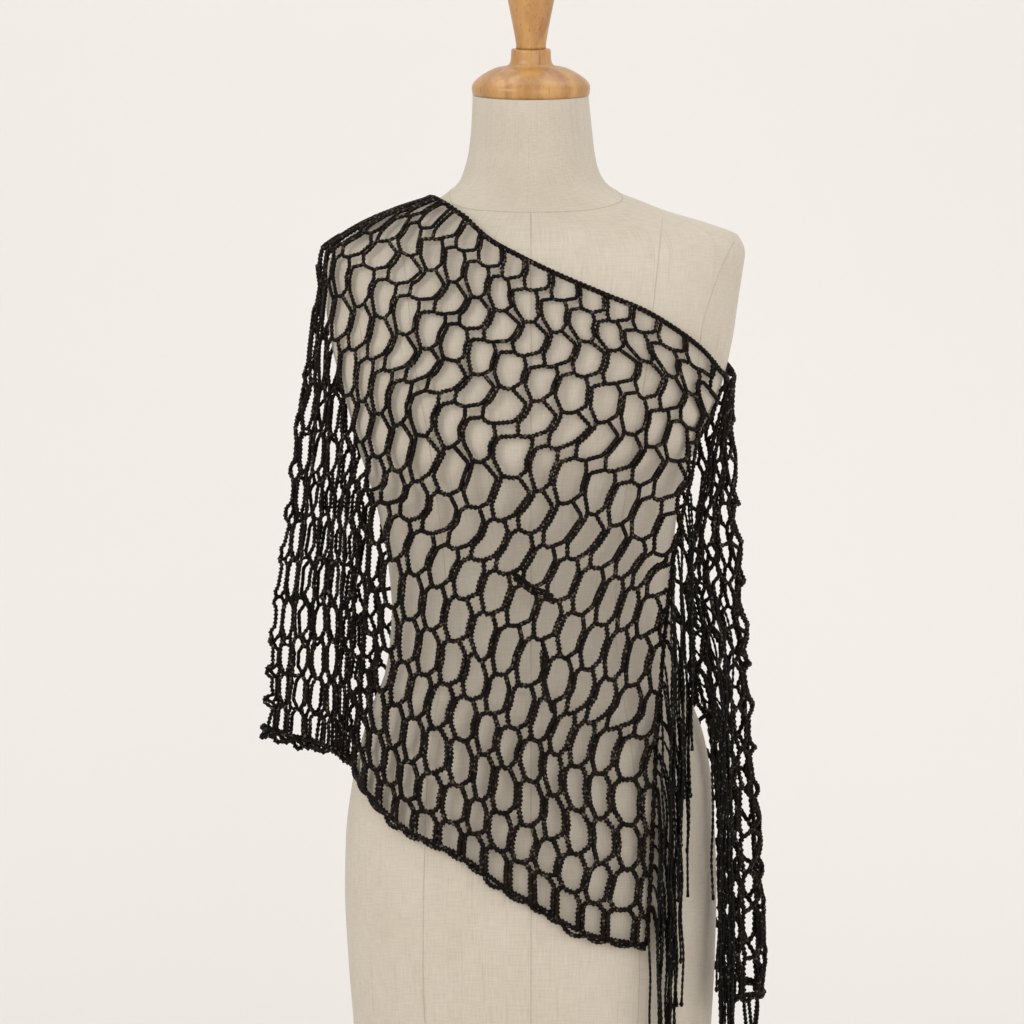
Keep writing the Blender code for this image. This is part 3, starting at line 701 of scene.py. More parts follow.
def back_lattice(rows, columns):
    """Lattice points of the back, whose rows even out away from the fold."""
    points = []
    for row in rows:
        fold_share = front_row_knots(row)[0][0][1]
        even_share = (row - TOP_ROW) / BACK_ROWS
        line = []
        for column in columns:
            place = value(BACK_COLUMNS, FOLD_COLUMN - column, 1)
            share = fold_share + (even_share - fold_share) * ease(place, -1.0, EVEN_FROM)
            line.append(lattice_point(place, share, BACK_NECKLINE, BACK_HEM, "back"))
        points.append(line)
    return np.array(points)


def unit(rows):
    """The same directions at a length of 1."""
    return rows / np.maximum(np.linalg.norm(rows, axis=-1, keepdims=True), 1e-9)


class Cloth:
    """The surface of the net, read at any column and row of its lattice."""

    def __init__(self):
        rows = np.arange(TOP_ROW, BOTTOM_ROW + LATTICE_STEP / 2, LATTICE_STEP)
        back = np.arange(BACK_END, FOLD_COLUMN - LATTICE_STEP / 2, LATTICE_STEP)
        front = np.arange(FOLD_COLUMN, FRONT_END + LATTICE_STEP / 2, LATTICE_STEP)
        self.grid = np.concatenate((back_lattice(rows, back), front_lattice(rows, front)), axis=1)
        across = np.gradient(self.grid[:, :, :3], axis=1)
        down = np.gradient(self.grid[:, :, :3], axis=0)
        self.normals = unit(np.cross(down, across))

    @staticmethod
    def blend(grid, rows, columns):
        """Values of a grid at rows and columns between its own."""
        low_row = np.clip(rows.astype(int), 0, grid.shape[0] - 2)
        low_column = np.clip(columns.astype(int), 0, grid.shape[1] - 2)
        r, c = (rows - low_row)[:, None], (columns - low_column)[:, None]
        upper = grid[low_row, low_column] * (1 - c) + grid[low_row, low_column + 1] * c
        lower = grid[low_row + 1, low_column] * (1 - c) + grid[low_row + 1, low_column + 1] * c
        return upper * (1 - r) + lower * r

    def at(self, columns, rows):
        """Points of the cloth and its outward directions, with the folds."""
        columns, rows = np.asarray(columns, float), np.asarray(rows, float)
        grid_rows = np.clip((rows - TOP_ROW) / LATTICE_STEP, 0, self.grid.shape[0] - 1)
        grid_columns = np.clip((columns - BACK_END) / LATTICE_STEP, 0, self.grid.shape[1] - 1)
        read = self.blend(self.grid, grid_rows, grid_columns)
        normals = unit(self.blend(self.normals, grid_rows, grid_columns))
        depth = np.zeros(len(read))
        on_front = columns >= FOLD_COLUMN
        for middle, half_width, most, starts, half in FOLDS:
            here = on_front == (half == "front")
            share = np.clip((read[:, 4] - starts) / (1.0 - starts), 0.0, 1.0)
            swell = most * np.exp(-((read[:, 3] - middle) / half_width) ** 2) * share ** 2 * (3 - 2 * share)
            depth += np.where(here, swell, 0.0)
        return read[:, :3] + normals * depth[:, None], normals


def rounded(points, steps=4):
    """Smooth line that follows a list of points and cuts their corners, as rows of an array."""
    points = np.asarray(points, float)
    middles = (points[:-1] + points[1:]) / 2
    t = (np.arange(steps) / steps)[:, None]
    line = [points[:1]]
    for index in range(1, len(points) - 1):
        start, corner, end = middles[index - 1], points[index], middles[index]
        line.append((1 - t) ** 2 * start + 2 * t * (1 - t) * corner + t ** 2 * end)
    line.append(middles[-1:])
    line.append(points[-1:])
    return np.concatenate(line)


def sharpened(points, share=0.34):
    """The same line with points added near its corners, so that rounding cuts them less."""
    points = np.asarray(points, float)
    line = [points[0]]
    for start, stop in zip(points, points[1:]):
        line += [start + (stop - start) * share, stop + (start - stop) * share, stop]
    return np.array(line)


def directions(points):
    """Ways along a line at each of its points."""
    return unit(np.gradient(points, axis=0))


def lengths_along(points):
    """Distance of each point of a line from its start, along the line."""
    return np.concatenate(([0.0], np.cumsum(np.linalg.norm(np.diff(points, axis=0), axis=1))))


def read_at(spots, along, rows):
    """Points or directions of a line, read at other distances along it."""
    return np.stack([np.interp(spots, along, rows[:, axis]) for axis in range(3)], axis=1)


class Yarn:
    """Lays lumpy yarn along lines and makes one mesh of all of it."""

    def __init__(self, seed, spacing=RING_SPACING):
        self.random = random.Random(seed)
        self.spacing = spacing
        self.points = []
        self.faces = []
        self.count = 0

    def lay(self, line, normals, radius, lobe=LOBE):
        """One length of yarn along a line, with the outward direction at each of its points."""
        along = lengths_along(line)
        rings = max(3, int(round(along[-1] / self.spacing)) + 1)
        places = np.linspace(0.0, along[-1], rings)
        radius = np.interp(places, along, np.broadcast_to(radius, along.shape))[:, None]
        centres = read_at(places, along, line)
        first = read_at(places, along, normals)
        ways = directions(centres)
        first = unit(first - ways * np.sum(first * ways, axis=1, keepdims=True))
        second = np.cross(ways, first)
        angles = 2 * math.pi * (np.arange(YARN_SIDES) + 0.5) / YARN_SIDES
        turn = TWIST * np.arange(rings)[:, None] + self.random.uniform(0.0, ANY_TURN)
        swell = 1.0 + lobe * np.cos(2 * angles[None, :] - 2 * turn)
        phase = self.random.uniform(0.0, ANY_TURN)
        swell *= 1.0 + SWELL * np.sin(np.arange(rings) * SWELL_TURN + phase)[:, None]
        swell[[0, -1]] *= END_RING
        spokes = np.cos(angles)[:, None] * first[:, None, :] + np.sin(angles)[:, None] * second[:, None, :]
        ring = centres[:, None, :] + (radius * swell)[:, :, None] * spokes
        self.points.append(ring.reshape(-1, 3))
        self.add_faces(rings)
        self.count += rings * YARN_SIDES

    def add_faces(self, rings):
        """Faces of one length of yarn, with its two ends closed."""
        base = self.count + YARN_SIDES * np.arange(rings - 1)[:, None]
        side = np.arange(YARN_SIDES)[None, :]
        after = (side + 1) % YARN_SIDES
        above = base + YARN_SIDES
        quads = np.stack((base + side, base + after, above + after, above + side), axis=2)
        self.faces += quads.reshape(-1, 4).tolist()
        self.faces.append([self.count + index for index in reversed(range(YARN_SIDES))])
        last = self.count + YARN_SIDES * (rings - 1)
        self.faces.append([last + index for index in range(YARN_SIDES)])

    def lay_crossing(self, points, normals, aside, along, crossing, radius):
        """Two chains along a line, crossing over and over like a cord."""
        length, rise = crossing
        wave = along * 2 * math.pi / length
        for hand in (-1.0, 1.0):
            swing = hand * CROSSING_SWING * np.sin(wave)[:, None]
            lift = hand * rise * np.cos(wave)[:, None]
            self.lay(points + aside * swing + normals * lift, normals, radius)

    def finish(self, name, material, slot, replaced=()):
        """One piece of all the yarn."""
        return make_piece(name, np.concatenate(self.points) * MM, self.faces, material, replaced)


def add_object(name, data):
    """New object in the scene."""
    item = bpy.data.objects.new(name, data)
    bpy.context.scene.collection.objects.link(item)
    return item


def make_piece(name, points, faces, material, replaced=()):
    """A smooth shaded piece of the object that rides on the one body."""
    mesh = bpy.data.meshes.new(name)
    mesh.from_pydata([tuple(point) for point in points], [], faces)
    mesh.materials.append(material)
    mesh.shade_smooth()
    item = add_object(name, mesh)
    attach(item, "root")
    if replaced:
        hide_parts(*replaced)
    return item


class Net:
    """The crocheted net: pairs of chains run down its column lines and part round a small gusset between
    each four holes, and short chains join the gussets along the rows."""

    def __init__(self, cloth):
        self.cloth = cloth
        self.random = random.Random(GUSSET_SEED)
        self.lines = np.arange(BACK_END + 0.5, FRONT_END, 1.0)
        self.gussets = {}
        for line in self.lines:
            for row in range(GUSSET_ROWS):
                if line < end_column(row + 0.5) - NEAR_END:
                    self.gussets[line, row] = self.make_gusset(line, row + 0.5)

    def make_gusset(self, line, row):
        """Top, left, bottom and right corners of a gusset, as columns and rows."""
        uneven = BACK_UNEVEN if line < FOLD_COLUMN else FRONT_UNEVEN
        column = line + self.random.gauss(0.0, uneven)
        middle = row + self.random.gauss(0.0, uneven)
        wide = self.random.uniform(*GUSSET_WIDE)
        tall = self.random.uniform(*GUSSET_TALL)
        wide = max(wide, LEAST_HALF_WIDTH / (GUSSET_HALF_WIDTH * self.pitch(line, row)))
        if row > LOW_ROWS:
            corners = LOW_GUSSET
        else:
            corners = SQUARE_GUSSET if int(row) % 2 == 0 else POINTED_GUSSET
        return [(column + wide * across, middle + tall * down) for across, down in corners]

    def pitch(self, column, row):
        """Width of a hole of the lattice in millimetres."""
        ends, _ = self.cloth.at([column - 0.5, column + 0.5], [row, row])
        return max(LEAST_PITCH, float(np.linalg.norm(ends[1] - ends[0])))

    @staticmethod
    def first_row(line):
        """Row at which a column line begins, at the neckline or on the short end."""
        rows = np.arange(TOP_ROW, BOTTOM_ROW, 0.1)
        return next(row for row in rows if line < end_column(row) - BEGIN_NEAR_END)

    def chain_controls(self, line, hand):
        """Column, row and distance out for one chain of a pair, from the neckline to the hem."""
        def beside(corner, apart=BAR_HALF_GAP):
            column, row = corner
            return column + hand * apart / self.pitch(column, row), row

        above = (line, self.first_row(line))
        controls = [(*beside(above, BAR_FOOT_HALF_GAP), 0.0)]
        for row in range(GUSSET_ROWS):
            if (line, row) not in self.gussets:
                continue
            top, left, bottom, right = self.gussets[line, row]
            middle = ((above[0] + top[0]) / 2, (above[1] + top[1]) / 2)
            apart = BAR_HALF_GAP * self.random.uniform(*BAR_VARIES)
            controls.append((*beside(middle, apart), self.random.uniform(*BAR_OUT)))
            controls.append((*beside(top), 0.0))
            controls.append((*(left if hand < 0 else right), 0.0))
            controls.append((*beside(bottom), 0.0))
            above = bottom
        foot = (line, BOTTOM_ROW)
        middle = ((above[0] + foot[0]) / 2, (above[1] + foot[1]) / 2)
        controls.append((*beside(middle, BAR_HALF_GAP * LAST_BAR), 0.0))
        controls.append((*beside(foot, BAR_FOOT_HALF_GAP), 0.0))
        return controls

    def lay_line(self, controls, yarn):
        """One chain along a line given by columns, rows and distances out. A thicker chain lies further out,
        clear of the form."""
        line = rounded(sharpened(controls), 3)
        points, normals = self.cloth.at(line[:, 0], line[:, 1])
        down = np.clip((line[:, 1] - TOP_ROW) / (BOTTOM_ROW - TOP_ROW) * THICKENING, 0.0, 1.0)
        radii = CHAIN_RADIUS + (np.interp(line[:, 0], *zip(*LOW_RADII)) - CHAIN_RADIUS) * down
        out = line[:, 2] + THICK_LIFT * np.maximum(radii - CHAIN_RADIUS, 0.0)
        yarn.lay(points + normals * out[:, None], normals, radii)

    def lay_columns(self, yarns):
        """A pair of chains down each column line."""
        for line in self.lines:
            for hand in (-1.0, 1.0):
                self.lay_line(self.chain_controls(line, hand), yarns[piece_of(line)])

    def lay_rows(self, yarns):
        """Short chains from gusset to gusset along each row."""
        for row in range(GUSSET_ROWS):
            edge = end_column(row + 0.5)
            ends = [BACK_END, *(line for line in self.lines if (line, row) in self.gussets), edge]
            for left, right in zip(ends, ends[1:]):
                self.lay_link(left, right, row, yarns[piece_of(right)])

    def lay_link(self, left, right, row, yarn):
        """Short chain between the gussets of two column lines."""
        start = self.gussets[left, row][3] if (left, row) in self.gussets else (left, row + 0.5)
        stop = self.gussets[right, row][1] if (right, row) in self.gussets else (right, row + 0.5)
        if stop[0] - start[0] < LEAST_LINK:
            return
        sag = self.random.uniform(*LINK_SAG)
        lift = self.random.uniform(*LINK_OUT)
        controls = [(*start, 0.0)]
        for share in SAG_SHARES:
            controls.append((
                start[0] + (stop[0] - start[0]) * share,
                start[1] + (stop[1] - start[1]) * share + sag,
                lift,
            ))
        controls.append((*stop, 0.0))
        self.lay_line(controls, yarn)

    def lay_snags(self, yarns):
        """Strands that run together across the holes where the net has caught."""
        for route in SNAGS:
            for strand in range(SNAG_STRANDS):
                aside = SNAG_SPREAD * (strand - (SNAG_STRANDS - 1) / 2)
                controls = [(column + aside, row + aside, out) for column, row, out in route]
                line = rounded(controls, 3)
                points, normals = self.cloth.at(line[:, 0], line[:, 1])
                yarns[piece_of(route[0][0])].lay(points + normals * line[:, 2:3], normals, SNAG_RADIUS)

    def lay_selvedges(self, yarns):
        """Two chains down each short end, which the fringe hangs from."""
        rows = np.arange(TOP_ROW, BOTTOM_ROW + 0.01, 0.05)
        for column, name in ((BACK_END, NET_PIECES[0][0]), (FRONT_END, NET_PIECES[-1][0])):
            points, normals = self.cloth.at(np.full(len(rows), column), rows)
            inside, _ = self.cloth.at(np.full(len(rows), column * JUST_INSIDE), rows)
            aside = unit(points - inside)
            yarns[name].lay_crossing(
                points - aside * SELVEDGE_INSET, normals, aside, lengths_along(points), SELVEDGE_CROSSING,
                SELVEDGE_RADIUS)


def piece_of(line):
    """Name of the piece of the net that a column line belongs to."""
    for name, start, stop in NET_PIECES:
        if start <= line < stop:
            return name
    return NET_PIECES[-1][0]


def edge_line(cloth, row, inside_row):
    """Line along the top or bottom edge, its outward directions, the ways off the edge, and the distances
    along it."""
    columns = np.arange(BACK_END, FRONT_END + 0.01, LATTICE_STEP / 2)
    points, normals = cloth.at(columns, np.full(len(columns), row))
    inside, _ = cloth.at(columns, np.full(len(columns), inside_row))
    square = np.cross(directions(points), normals)
    square *= np.sign(np.sum(square * (points - inside), axis=1, keepdims=True))
    along = lengths_along(points)
    spots = np.arange(0.0, along[-1], 1.0)
    return (*(read_at(spots, along, rows) for rows in (points, normals, square)), spots)


def make_neckline(cloth, material):
    """Two crossing chains along the neckline."""
    points, normals, square, along = edge_line(cloth, TOP_ROW, 0.0)
    yarn = Yarn(NECKLINE_SEED)
    yarn.lay_crossing(points, normals, square, along, NECKLINE_CROSSING, EDGING_RADIUS)
    return yarn.finish("neckline_chain", material, "cord", ("neckline_edging",))


def scallop_drops(along):
    """How far the lower chain of the hem hangs below the upper one, at distances along the hem."""
    shake = random.Random(SCALLOP_SEED)
    nodes = [0.0]
    while nodes[-1] < along[-1]:
        nodes.append(nodes[-1] + shake.uniform(*SCALLOPS))
    drops = np.array([shake.uniform(*SCALLOP_DROPS) for _ in nodes])
    spot = np.minimum(np.searchsorted(nodes, along, side="right") - 1, len(nodes) - 2)
    start, stop = np.array(nodes)[spot], np.array(nodes)[spot + 1]
    return drops[spot] * np.sin(math.pi * (along - start) / (stop - start)) ** 0.8


def make_hem(cloth, material):
    """Chain along the hem, with a second chain under it that leaves it in shallow scallops, and the loose
    ends that hang from it."""
    points, normals, square, along = edge_line(cloth, BOTTOM_ROW, 14.0)
    yarn = Yarn(HEM_SEED)
    drop = scallop_drops(along) * np.where(points[:, 0] < SLEEVE_EDGE, SLEEVE_SCALLOP, 1.0)
    wave = HEM_WAVE_DEPTH * np.sin(along / HEM_WAVE)
    yarn.lay(points + square * wave[:, None] + normals * HEM_OUT, normals, HEM_RADIUS)
    yarn.lay(points + square * (HEM_GAP + drop)[:, None] - normals * HEM_OUT, normals, HEM_RADIUS)
    for column, length in HEM_ENDS:
        start, out = cloth.at([column], [BOTTOM_ROW])
        falls = np.linspace(0.0, length, 25)
        sway = END_SWAY * np.sin(falls / END_WAVE + column) * np.minimum(1.0, falls / END_SWAY_GROWS)
        end = start + np.stack((sway, 0.5 * sway, -falls), axis=1)
        yarn.lay(end, np.tile(out, (len(end), 1)), HEM_END_RADIUS)
    return yarn.finish("hem_chain", material, "cord", ("hem_edging",))


def strand_route(side, number, numbers, layers):
    """Route of one fringe strand from the short end down to its free end, as in the part's source."""
    starts, stops, depth, held_at, slope, shortest, longest = numbers
    strands = len(layers) * LAYER_STRANDS
    down = starts + (stops - starts) * (number + 0.5) / strands
    edge = FRONT_SHORT_END if side == "front" else BACK_SHORT_END
    height, place = value(edge, down, 1), value(edge, down, 2)
    point = net_point(place, height, side)
    inside = net_point(place - PLACE_BEFORE_END, height, side)
    away = (point - inside).normalized()
    outward = Vector((away.y, -away.x, 0.0)).normalized()
    start = point + away * START_OFF + outward * START_OUTWARD
    layer, turn = divmod(number, LAYER_STRANDS)
    inward = len(layers) - 1 - layer
    hang_x = layers[layer] - (STRAND_SPACING if side == "front" else BACK_STRAND_SPACING) * turn
    hang_y = -depth + slope * (hang_x - held_at) - LAYER_SPACING * inward
    hang_x += FRINGE_BUNCHING * math.sin(2 * math.pi * hang_x / FRINGE_BUNCH)
    length = shortest + (longest - shortest) * ((number * 7) % 11) / 10
    drop = start.z - max(FLOOR_CLEARANCE, start.z - length)
    route = [start - away * START_IN, start]
    for fall, out in (*FIRST_FALLS, *((drop * part, 1.0) for part in LOWER_FALLS)):
        x = start.x + (hang_x - start.x) * out
        y = start.y + (hang_y - start.y) * out
        route.append(Vector((x, y, start.z - fall)))
    return route


def make_fringe(name, side, numbers, layers, material):
    """Fringe strands. Each is a length of yarn folded in two, so that a pair hangs side by side."""
    yarn = Yarn(FRINGE_SEEDS[side], FRINGE_RING_SPACING)
    shake = random.Random(STRAND_SEED)
    for number in range(len(layers) * LAYER_STRANDS):
        line = rounded([tuple(point) for point in strand_route(side, number, numbers, layers)], 14)
        level = line[:, 2]
        fall = level[0] - level
        phase = shake.uniform(0.0, ANY_TURN)
        bend = (1.0 - np.exp(-fall / WAVES_GROW)) * np.sin(level / shake.uniform(*STRAND_WAVES) + phase)
        turn = shake.uniform(0.0, ANY_TURN) + level / shake.uniform(*PAIR_TURNS)
        shorter = shake.uniform(0.0, PAIR_SHORTER)
        for hand in (-1.0, 1.0)[:2 if side == "front" and number % 2 == 0 else 1]:
            strand = line.copy()
            strand[:, 0] += bend + hand * FRINGE_HALF_GAP * np.cos(turn)
            strand[:, 1] += WAVE_DEPTH * bend + hand * FRINGE_HALF_GAP * np.sin(turn)
            if hand > 0:
                strand = strand[fall < fall[-1] - shorter]
            normals = np.tile((0.0, -1.0, 0.0), (len(strand), 1))
            yarn.lay(strand, normals, FRINGE_RADIUS)
            yarn.lay(strand[-1] + np.array(END_KNOT), normals[:2], END_KNOT_RADIUS)
    return yarn.finish(name, material, "yarn", (name.replace("_strands", ""),))


def make_knot(material):
    """Yarn knot at the two top corners: a few turns round a small middle."""
    low, high = (Vector(corner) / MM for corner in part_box("corner_knot"))
    middle = (low + high) / 2
    radius = (high.x - low.x) / 2 - KNOT_INSET
    yarn = Yarn(KNOT_SEED)
    shake = random.Random(KNOT_SEED)
    for number in range(KNOT_TURNS):
        turn = Matrix.Rotation(shake.uniform(0.0, ANY_TURN / 2), 3, "Z")
        turn = turn @ Matrix.Rotation(shake.uniform(0.0, ANY_TURN / 2), 3, "X")
        ring, normals = [], []
        for step in range(KNOT_STEPS + 1):
            angle = 2 * math.pi * step / KNOT_STEPS
            out = turn @ Vector((math.cos(angle), math.sin(angle), KNOT_BEND * math.sin(2 * angle)))
            ring.append(tuple(middle + out * radius * (KNOT_CORE + KNOT_GROWS * number)))
            normals.append(tuple(out))
        yarn.lay(np.array(ring), np.array(normals), KNOT_YARN_RADIUS)
    return yarn.finish("corner_knot_turns", material, "yarn", ("corner_knot",))


def angles_round(sides):
    """Angles of evenly spaced points round a circle."""
    return [2 * math.pi * index / sides for index in range(sides)]


def ring_faces(rows, sides):
    """Faces between rings of points, with both ends closed."""
    faces = []
    for row in range(rows - 1):
        for index in range(sides):
            base, after = row * sides, (index + 1) % sides
            faces.append((base + index, base + after, base + sides + after, base + sides + index))
    faces.append(list(reversed(range(sides))))
    faces.append([(rows - 1) * sides + index for index in range(sides)])
    return faces


def make_form(material):
    """The linen dress form, close set so that it is smooth."""
    heights = [FORM[0][0]]
    while heights[-1] < FORM[-1][0] - 0.01:
        step = SHOULDER_STEP if heights[-1] > SHOULDER_LEVEL else FORM_STEP
        heights.append(min(FORM[-1][0], heights[-1] + step))
    points = [form_point(height, angle) * MM for height in heights for angle in angles_round(FORM_SIDES)]
    faces = ring_faces(len(heights), FORM_SIDES)
    item = make_piece("linen_form", points, faces, material, ("dress_form",))
    layer = item.data.uv_layers.new(name="weave")
    for polygon in item.data.polygons:
        places = [number % FORM_SIDES for number in polygon.vertices]
        for loop, number, place in zip(polygon.loop_indices, polygon.vertices, places):
            around = 1.0 if place == 0 and max(places) > 2 else place / FORM_SIDES
            layer.data[loop].uv = (around, item.data.vertices[number].co.z)


def form_front_point(height, across):
    """Point on the front of the form at a level and a distance from the middle."""
    low, high = -math.pi / 2, math.pi / 2
    for _ in range(30):
        middle = (low + high) / 2
        if form_point(height, middle).x < across:
            low = middle
        else:
            high = middle
    return form_point(height, (low + high) / 2)


def seam_routes():
    """Routes of the form's seams: round the neck, down the front and back, and down each side of the front
    and round each armhole."""
    steps = np.linspace(0.0, 1.0, 97)
    ring = []
    for share in steps:
        angle = 2 * math.pi * share
        ring.append(form_point(NECK_SEAM_SIDE - NECK_SEAM_DROP * max(0.0, math.cos(angle)) ** 1.5, angle))
    routes = [ring]
    low = FORM[0][0] + 1.0
    for start, angle in ((NECK_SEAM_SIDE - NECK_SEAM_DROP, 0.0), (NECK_SEAM_SIDE, math.pi)):
        routes.append([form_point(start + (low - start) * share, angle) for share in steps])
    top = PRINCESS_SEAM[-1][0]
    levels = [top + (low - top) * share for share in steps]
    panel = [(height, value(PRINCESS_SEAM, height, 1)) for height in levels]
    shares = np.linspace(0.0, 1.0, 49)
    armhole = [(value(ARMHOLE_SEAM, share, 1), value(ARMHOLE_SEAM, share, 2)) for share in shares]
    for side in (-1.0, 1.0):
        for line in (panel, armhole):
            routes.append([form_front_point(height, side * across) for height, across in line])
    return routes


def make_seams(material):
    """Fine cords in the seams of the form."""
    yarn = Yarn(SEAM_SEED, SEAM_RING_SPACING)
    for route in seam_routes():
        points = np.array([tuple(point) for point in route])
        yarn.lay(points, unit(points * (1.0, 1.0, 0.0)), SEAM_RADIUS, 0.0)
    return yarn.finish("linen_seams", material, "linen")


def make_turned(name, profile, sides, base, lean, material, replaced):
    """Turned solid from its profile."""
    turn = Matrix.Rotation(lean, 3, "X")
    points = []
    for along, radius in profile:
        for angle in angles_round(sides):
            rim = Vector((radius * math.cos(angle), radius * math.sin(angle), along))
            points.append((base + turn @ rim) * MM)
    make_piece(name, points, ring_faces(len(profile), sides), material, replaced)


class Finish:
    """A material and a short way to add its nodes."""

    def __init__(self, name, roughness, metallic=0.0):
        self.material = bpy.data.materials.new(name)
        self.material.use_nodes = True
        self.tree = self.material.node_tree
        self.shader = self.tree.nodes["Principled BSDF"]
        self.shader.inputs["Roughness"].default_value = roughness
        self.shader.inputs["Metallic"].default_value = metallic

    def node(self, kind, settings=None, **inputs):
        """New node with its settings and inputs."""
        node = self.tree.nodes.new(kind)
        for key, setting in (settings or {}).items():
            setattr(node, key, setting)
        for key, given in inputs.items():
            self.give(node.inputs[key.replace("_", " ")], given)
        return node

    def give(self, socket, given):
        """Links a socket to another, or sets its value."""
        if isinstance(given, bpy.types.NodeSocket):
            self.tree.links.new(given, socket)
        else:
            socket.default_value = given

    def coordinates(self, which="Object", scale=(1.0, 1.0, 1.0)):
        """Places on the piece, stretched by a scale."""
        source = self.node("ShaderNodeTexCoord")
        return self.node("ShaderNodeMapping", Vector=source.outputs[which], Scale=scale).outputs["Vector"]

    def noise(self, places, scale=1.0, detail=2.0, distortion=0.0):
        """Cloudy pattern from 0 to 1."""
        return self.node(
            "ShaderNodeTexNoise", Vector=places, Scale=scale, Detail=detail, Distortion=distortion
        ).outputs["Fac"]

    def ramp(self, factor, *stops):
        """Colours by a factor. Each stop is a place and a colour, or a grey."""
        node = self.node("ShaderNodeValToRGB", Fac=factor)
        ramp = node.color_ramp
        while len(ramp.elements) < len(stops):
            ramp.elements.new(0.5)
        for element, (place, colour) in zip(ramp.elements, stops):
            element.position = place
            element.color = (*colour, 1.0) if isinstance(colour, tuple) else (colour, colour, colour, 1.0)
        return node.outputs["Color"]

    def mix(self, factor, first, second, kind="MIX"):
        """Mix of two colours."""
        node = self.node("ShaderNodeMix", {"data_type": "RGBA", "blend_type": kind})
        for index, given in ((0, factor), (6, first), (7, second)):
            self.give(node.inputs[index], given)
        return node.outputs[2]

    def set(self, name, socket):
        """Drives an input of the shader."""
        self.tree.links.new(socket, self.shader.inputs[name])

    def bump(self, height, strength, distance):
        """Fine relief."""
        node = self.node("ShaderNodeBump", Height=height, Strength=strength, Distance=distance)
        self.set("Normal", node.outputs["Normal"])


def yarn_finish(name, dark, brown, painted_glint):
    """Glossy black yarn with brown depths and small painted glints: highlights painted into the colour at
    scattered spots.
    """
    finish = Finish(name, 0.5)
    finish.shader.inputs["Specular IOR Level"].default_value = 0.10
    places = finish.coordinates()
    fibre = finish.noise(places, 1400.0)
    broad = finish.noise(places, 120.0)
    cells = finish.node("ShaderNodeTexVoronoi", Vector=places, Scale=620.0)
    base = finish.mix(finish.ramp(broad, (0.35, 0.0), (0.7, 1.0)), (*dark, 1.0), (*brown, 1.0))
    # Painted highlight: scattered cells of the yarn get a pale colour that stands in for glints of light.
    painted_glint_spots = finish.ramp(cells.outputs["Color"], (0.80, 0.0), (0.86, 1.0))
    finish.set("Base Color", finish.mix(painted_glint_spots, base, (*painted_glint, 1.0)))
    finish.set("Roughness", finish.ramp(fibre, (0.3, 0.38), (0.7, 0.66)))
    finish.bump(fibre, 0.5, 0.0004)
    return finish.material


def linen_finish():
    """Unbleached linen: fine threads both ways with a few slubs, and soft patches of tone."""
    finish = Finish("unbleached_linen", 0.9)
    warp = finish.noise(finish.coordinates("UV", (1100.0, 60.0, 1.0)))
    weft = finish.noise(finish.coordinates("UV", (60.0, 1150.0, 1.0)))
    slubs = finish.noise(finish.coordinates("UV", (420.0, 9.0, 1.0)), detail=1.0)
    patches = finish.noise(finish.coordinates("Object", (26.0, 26.0, 20.0)), detail=4.0)
    threads = finish.mix(0.5, warp, weft)
    tone = finish.ramp(
        threads, (0.36, (0.535, 0.470, 0.385)), (0.5, (0.590, 0.522, 0.430)), (0.64, (0.635, 0.566, 0.470)))
    shade = finish.ramp(patches, (0.35, (0.965, 0.955, 0.945)), (0.65, 1.0))
    streak = finish.ramp(slubs, (0.60, 1.0), (0.74, (0.93, 0.91, 0.89)))
    toned = finish.mix(1.0, tone, shade, "MULTIPLY")
    finish.set("Base Color", finish.mix(1.0, toned, streak, "MULTIPLY"))
    finish.bump(threads, 0.30, 0.0005)
    finish.shader.inputs["Sheen Weight"].default_value = 0.15
    return finish.material


def seam_finish():
    """Seam lines of the linen, coloured darker than the linen as painted shade of the seam's fold."""
    finish = Finish("linen_seam_painted_shade", 0.9)
    stitches = finish.noise(finish.coordinates(), 420.0)
    # Painted shade: both colours are darker than the linen and stand in for the shade in the seam's fold.
    finish.set("Base Color", finish.ramp(stitches, (0.35, (0.45, 0.39, 0.31)), (0.65, (0.54, 0.475, 0.385))))
    finish.bump(stitches, 0.4, 0.0004)
    return finish.material


def wood_finish():
    """Golden beech with fine long grain under a satin lacquer."""
    finish = Finish("turned_beech", 0.38)
    grain = finish.noise(finish.coordinates("Object", (60.0, 60.0, 4.0)), detail=6.0, distortion=0.6)
    pores = finish.noise(finish.coordinates("Object", (700.0, 700.0, 25.0)))
    base = finish.ramp(
        grain, (0.30, (0.39, 0.180, 0.050)), (0.52, (0.52, 0.265, 0.080)), (0.72, (0.61, 0.33, 0.110)))
    darker = finish.ramp(pores, (0.30, (0.72, 0.66, 0.58)), (0.42, 1.0))
    finish.set("Base Color", finish.mix(1.0, base, darker, "MULTIPLY"))
    finish.bump(grain, 0.15, 0.0004)
    finish.shader.inputs["Coat Weight"].default_value = 0.35
    finish.shader.inputs["Coat Roughness"].default_value = 0.25
    return finish.material


def metal_finish():
    """Black powder coat on the stand."""
    finish = Finish("stand_powder_coat", 0.5, 0.3)
    speckle = finish.noise(finish.coordinates(), 900.0)
    black = finish.ramp(speckle, (0.35, (0.018, 0.018, 0.019)), (0.65, (0.035, 0.034, 0.033)))
    finish.set("Base Color", black)
    finish.set("Roughness", finish.ramp(speckle, (0.3, 0.42), (0.7, 0.6)))
    finish.bump(speckle, 0.3, 0.0003)
    return finish.material


def stage_finish():
    """Pale paper, a little cloudy."""
    finish = Finish("pale_paper", 0.95)
    clouds = finish.noise(finish.coordinates("Object", (0.6, 0.6, 0.6)), detail=1.0)
    finish.set("Base Color", finish.ramp(clouds, (0.3, (0.790, 0.760, 0.732)), (0.7, (0.815, 0.785, 0.757))))
    return finish.material


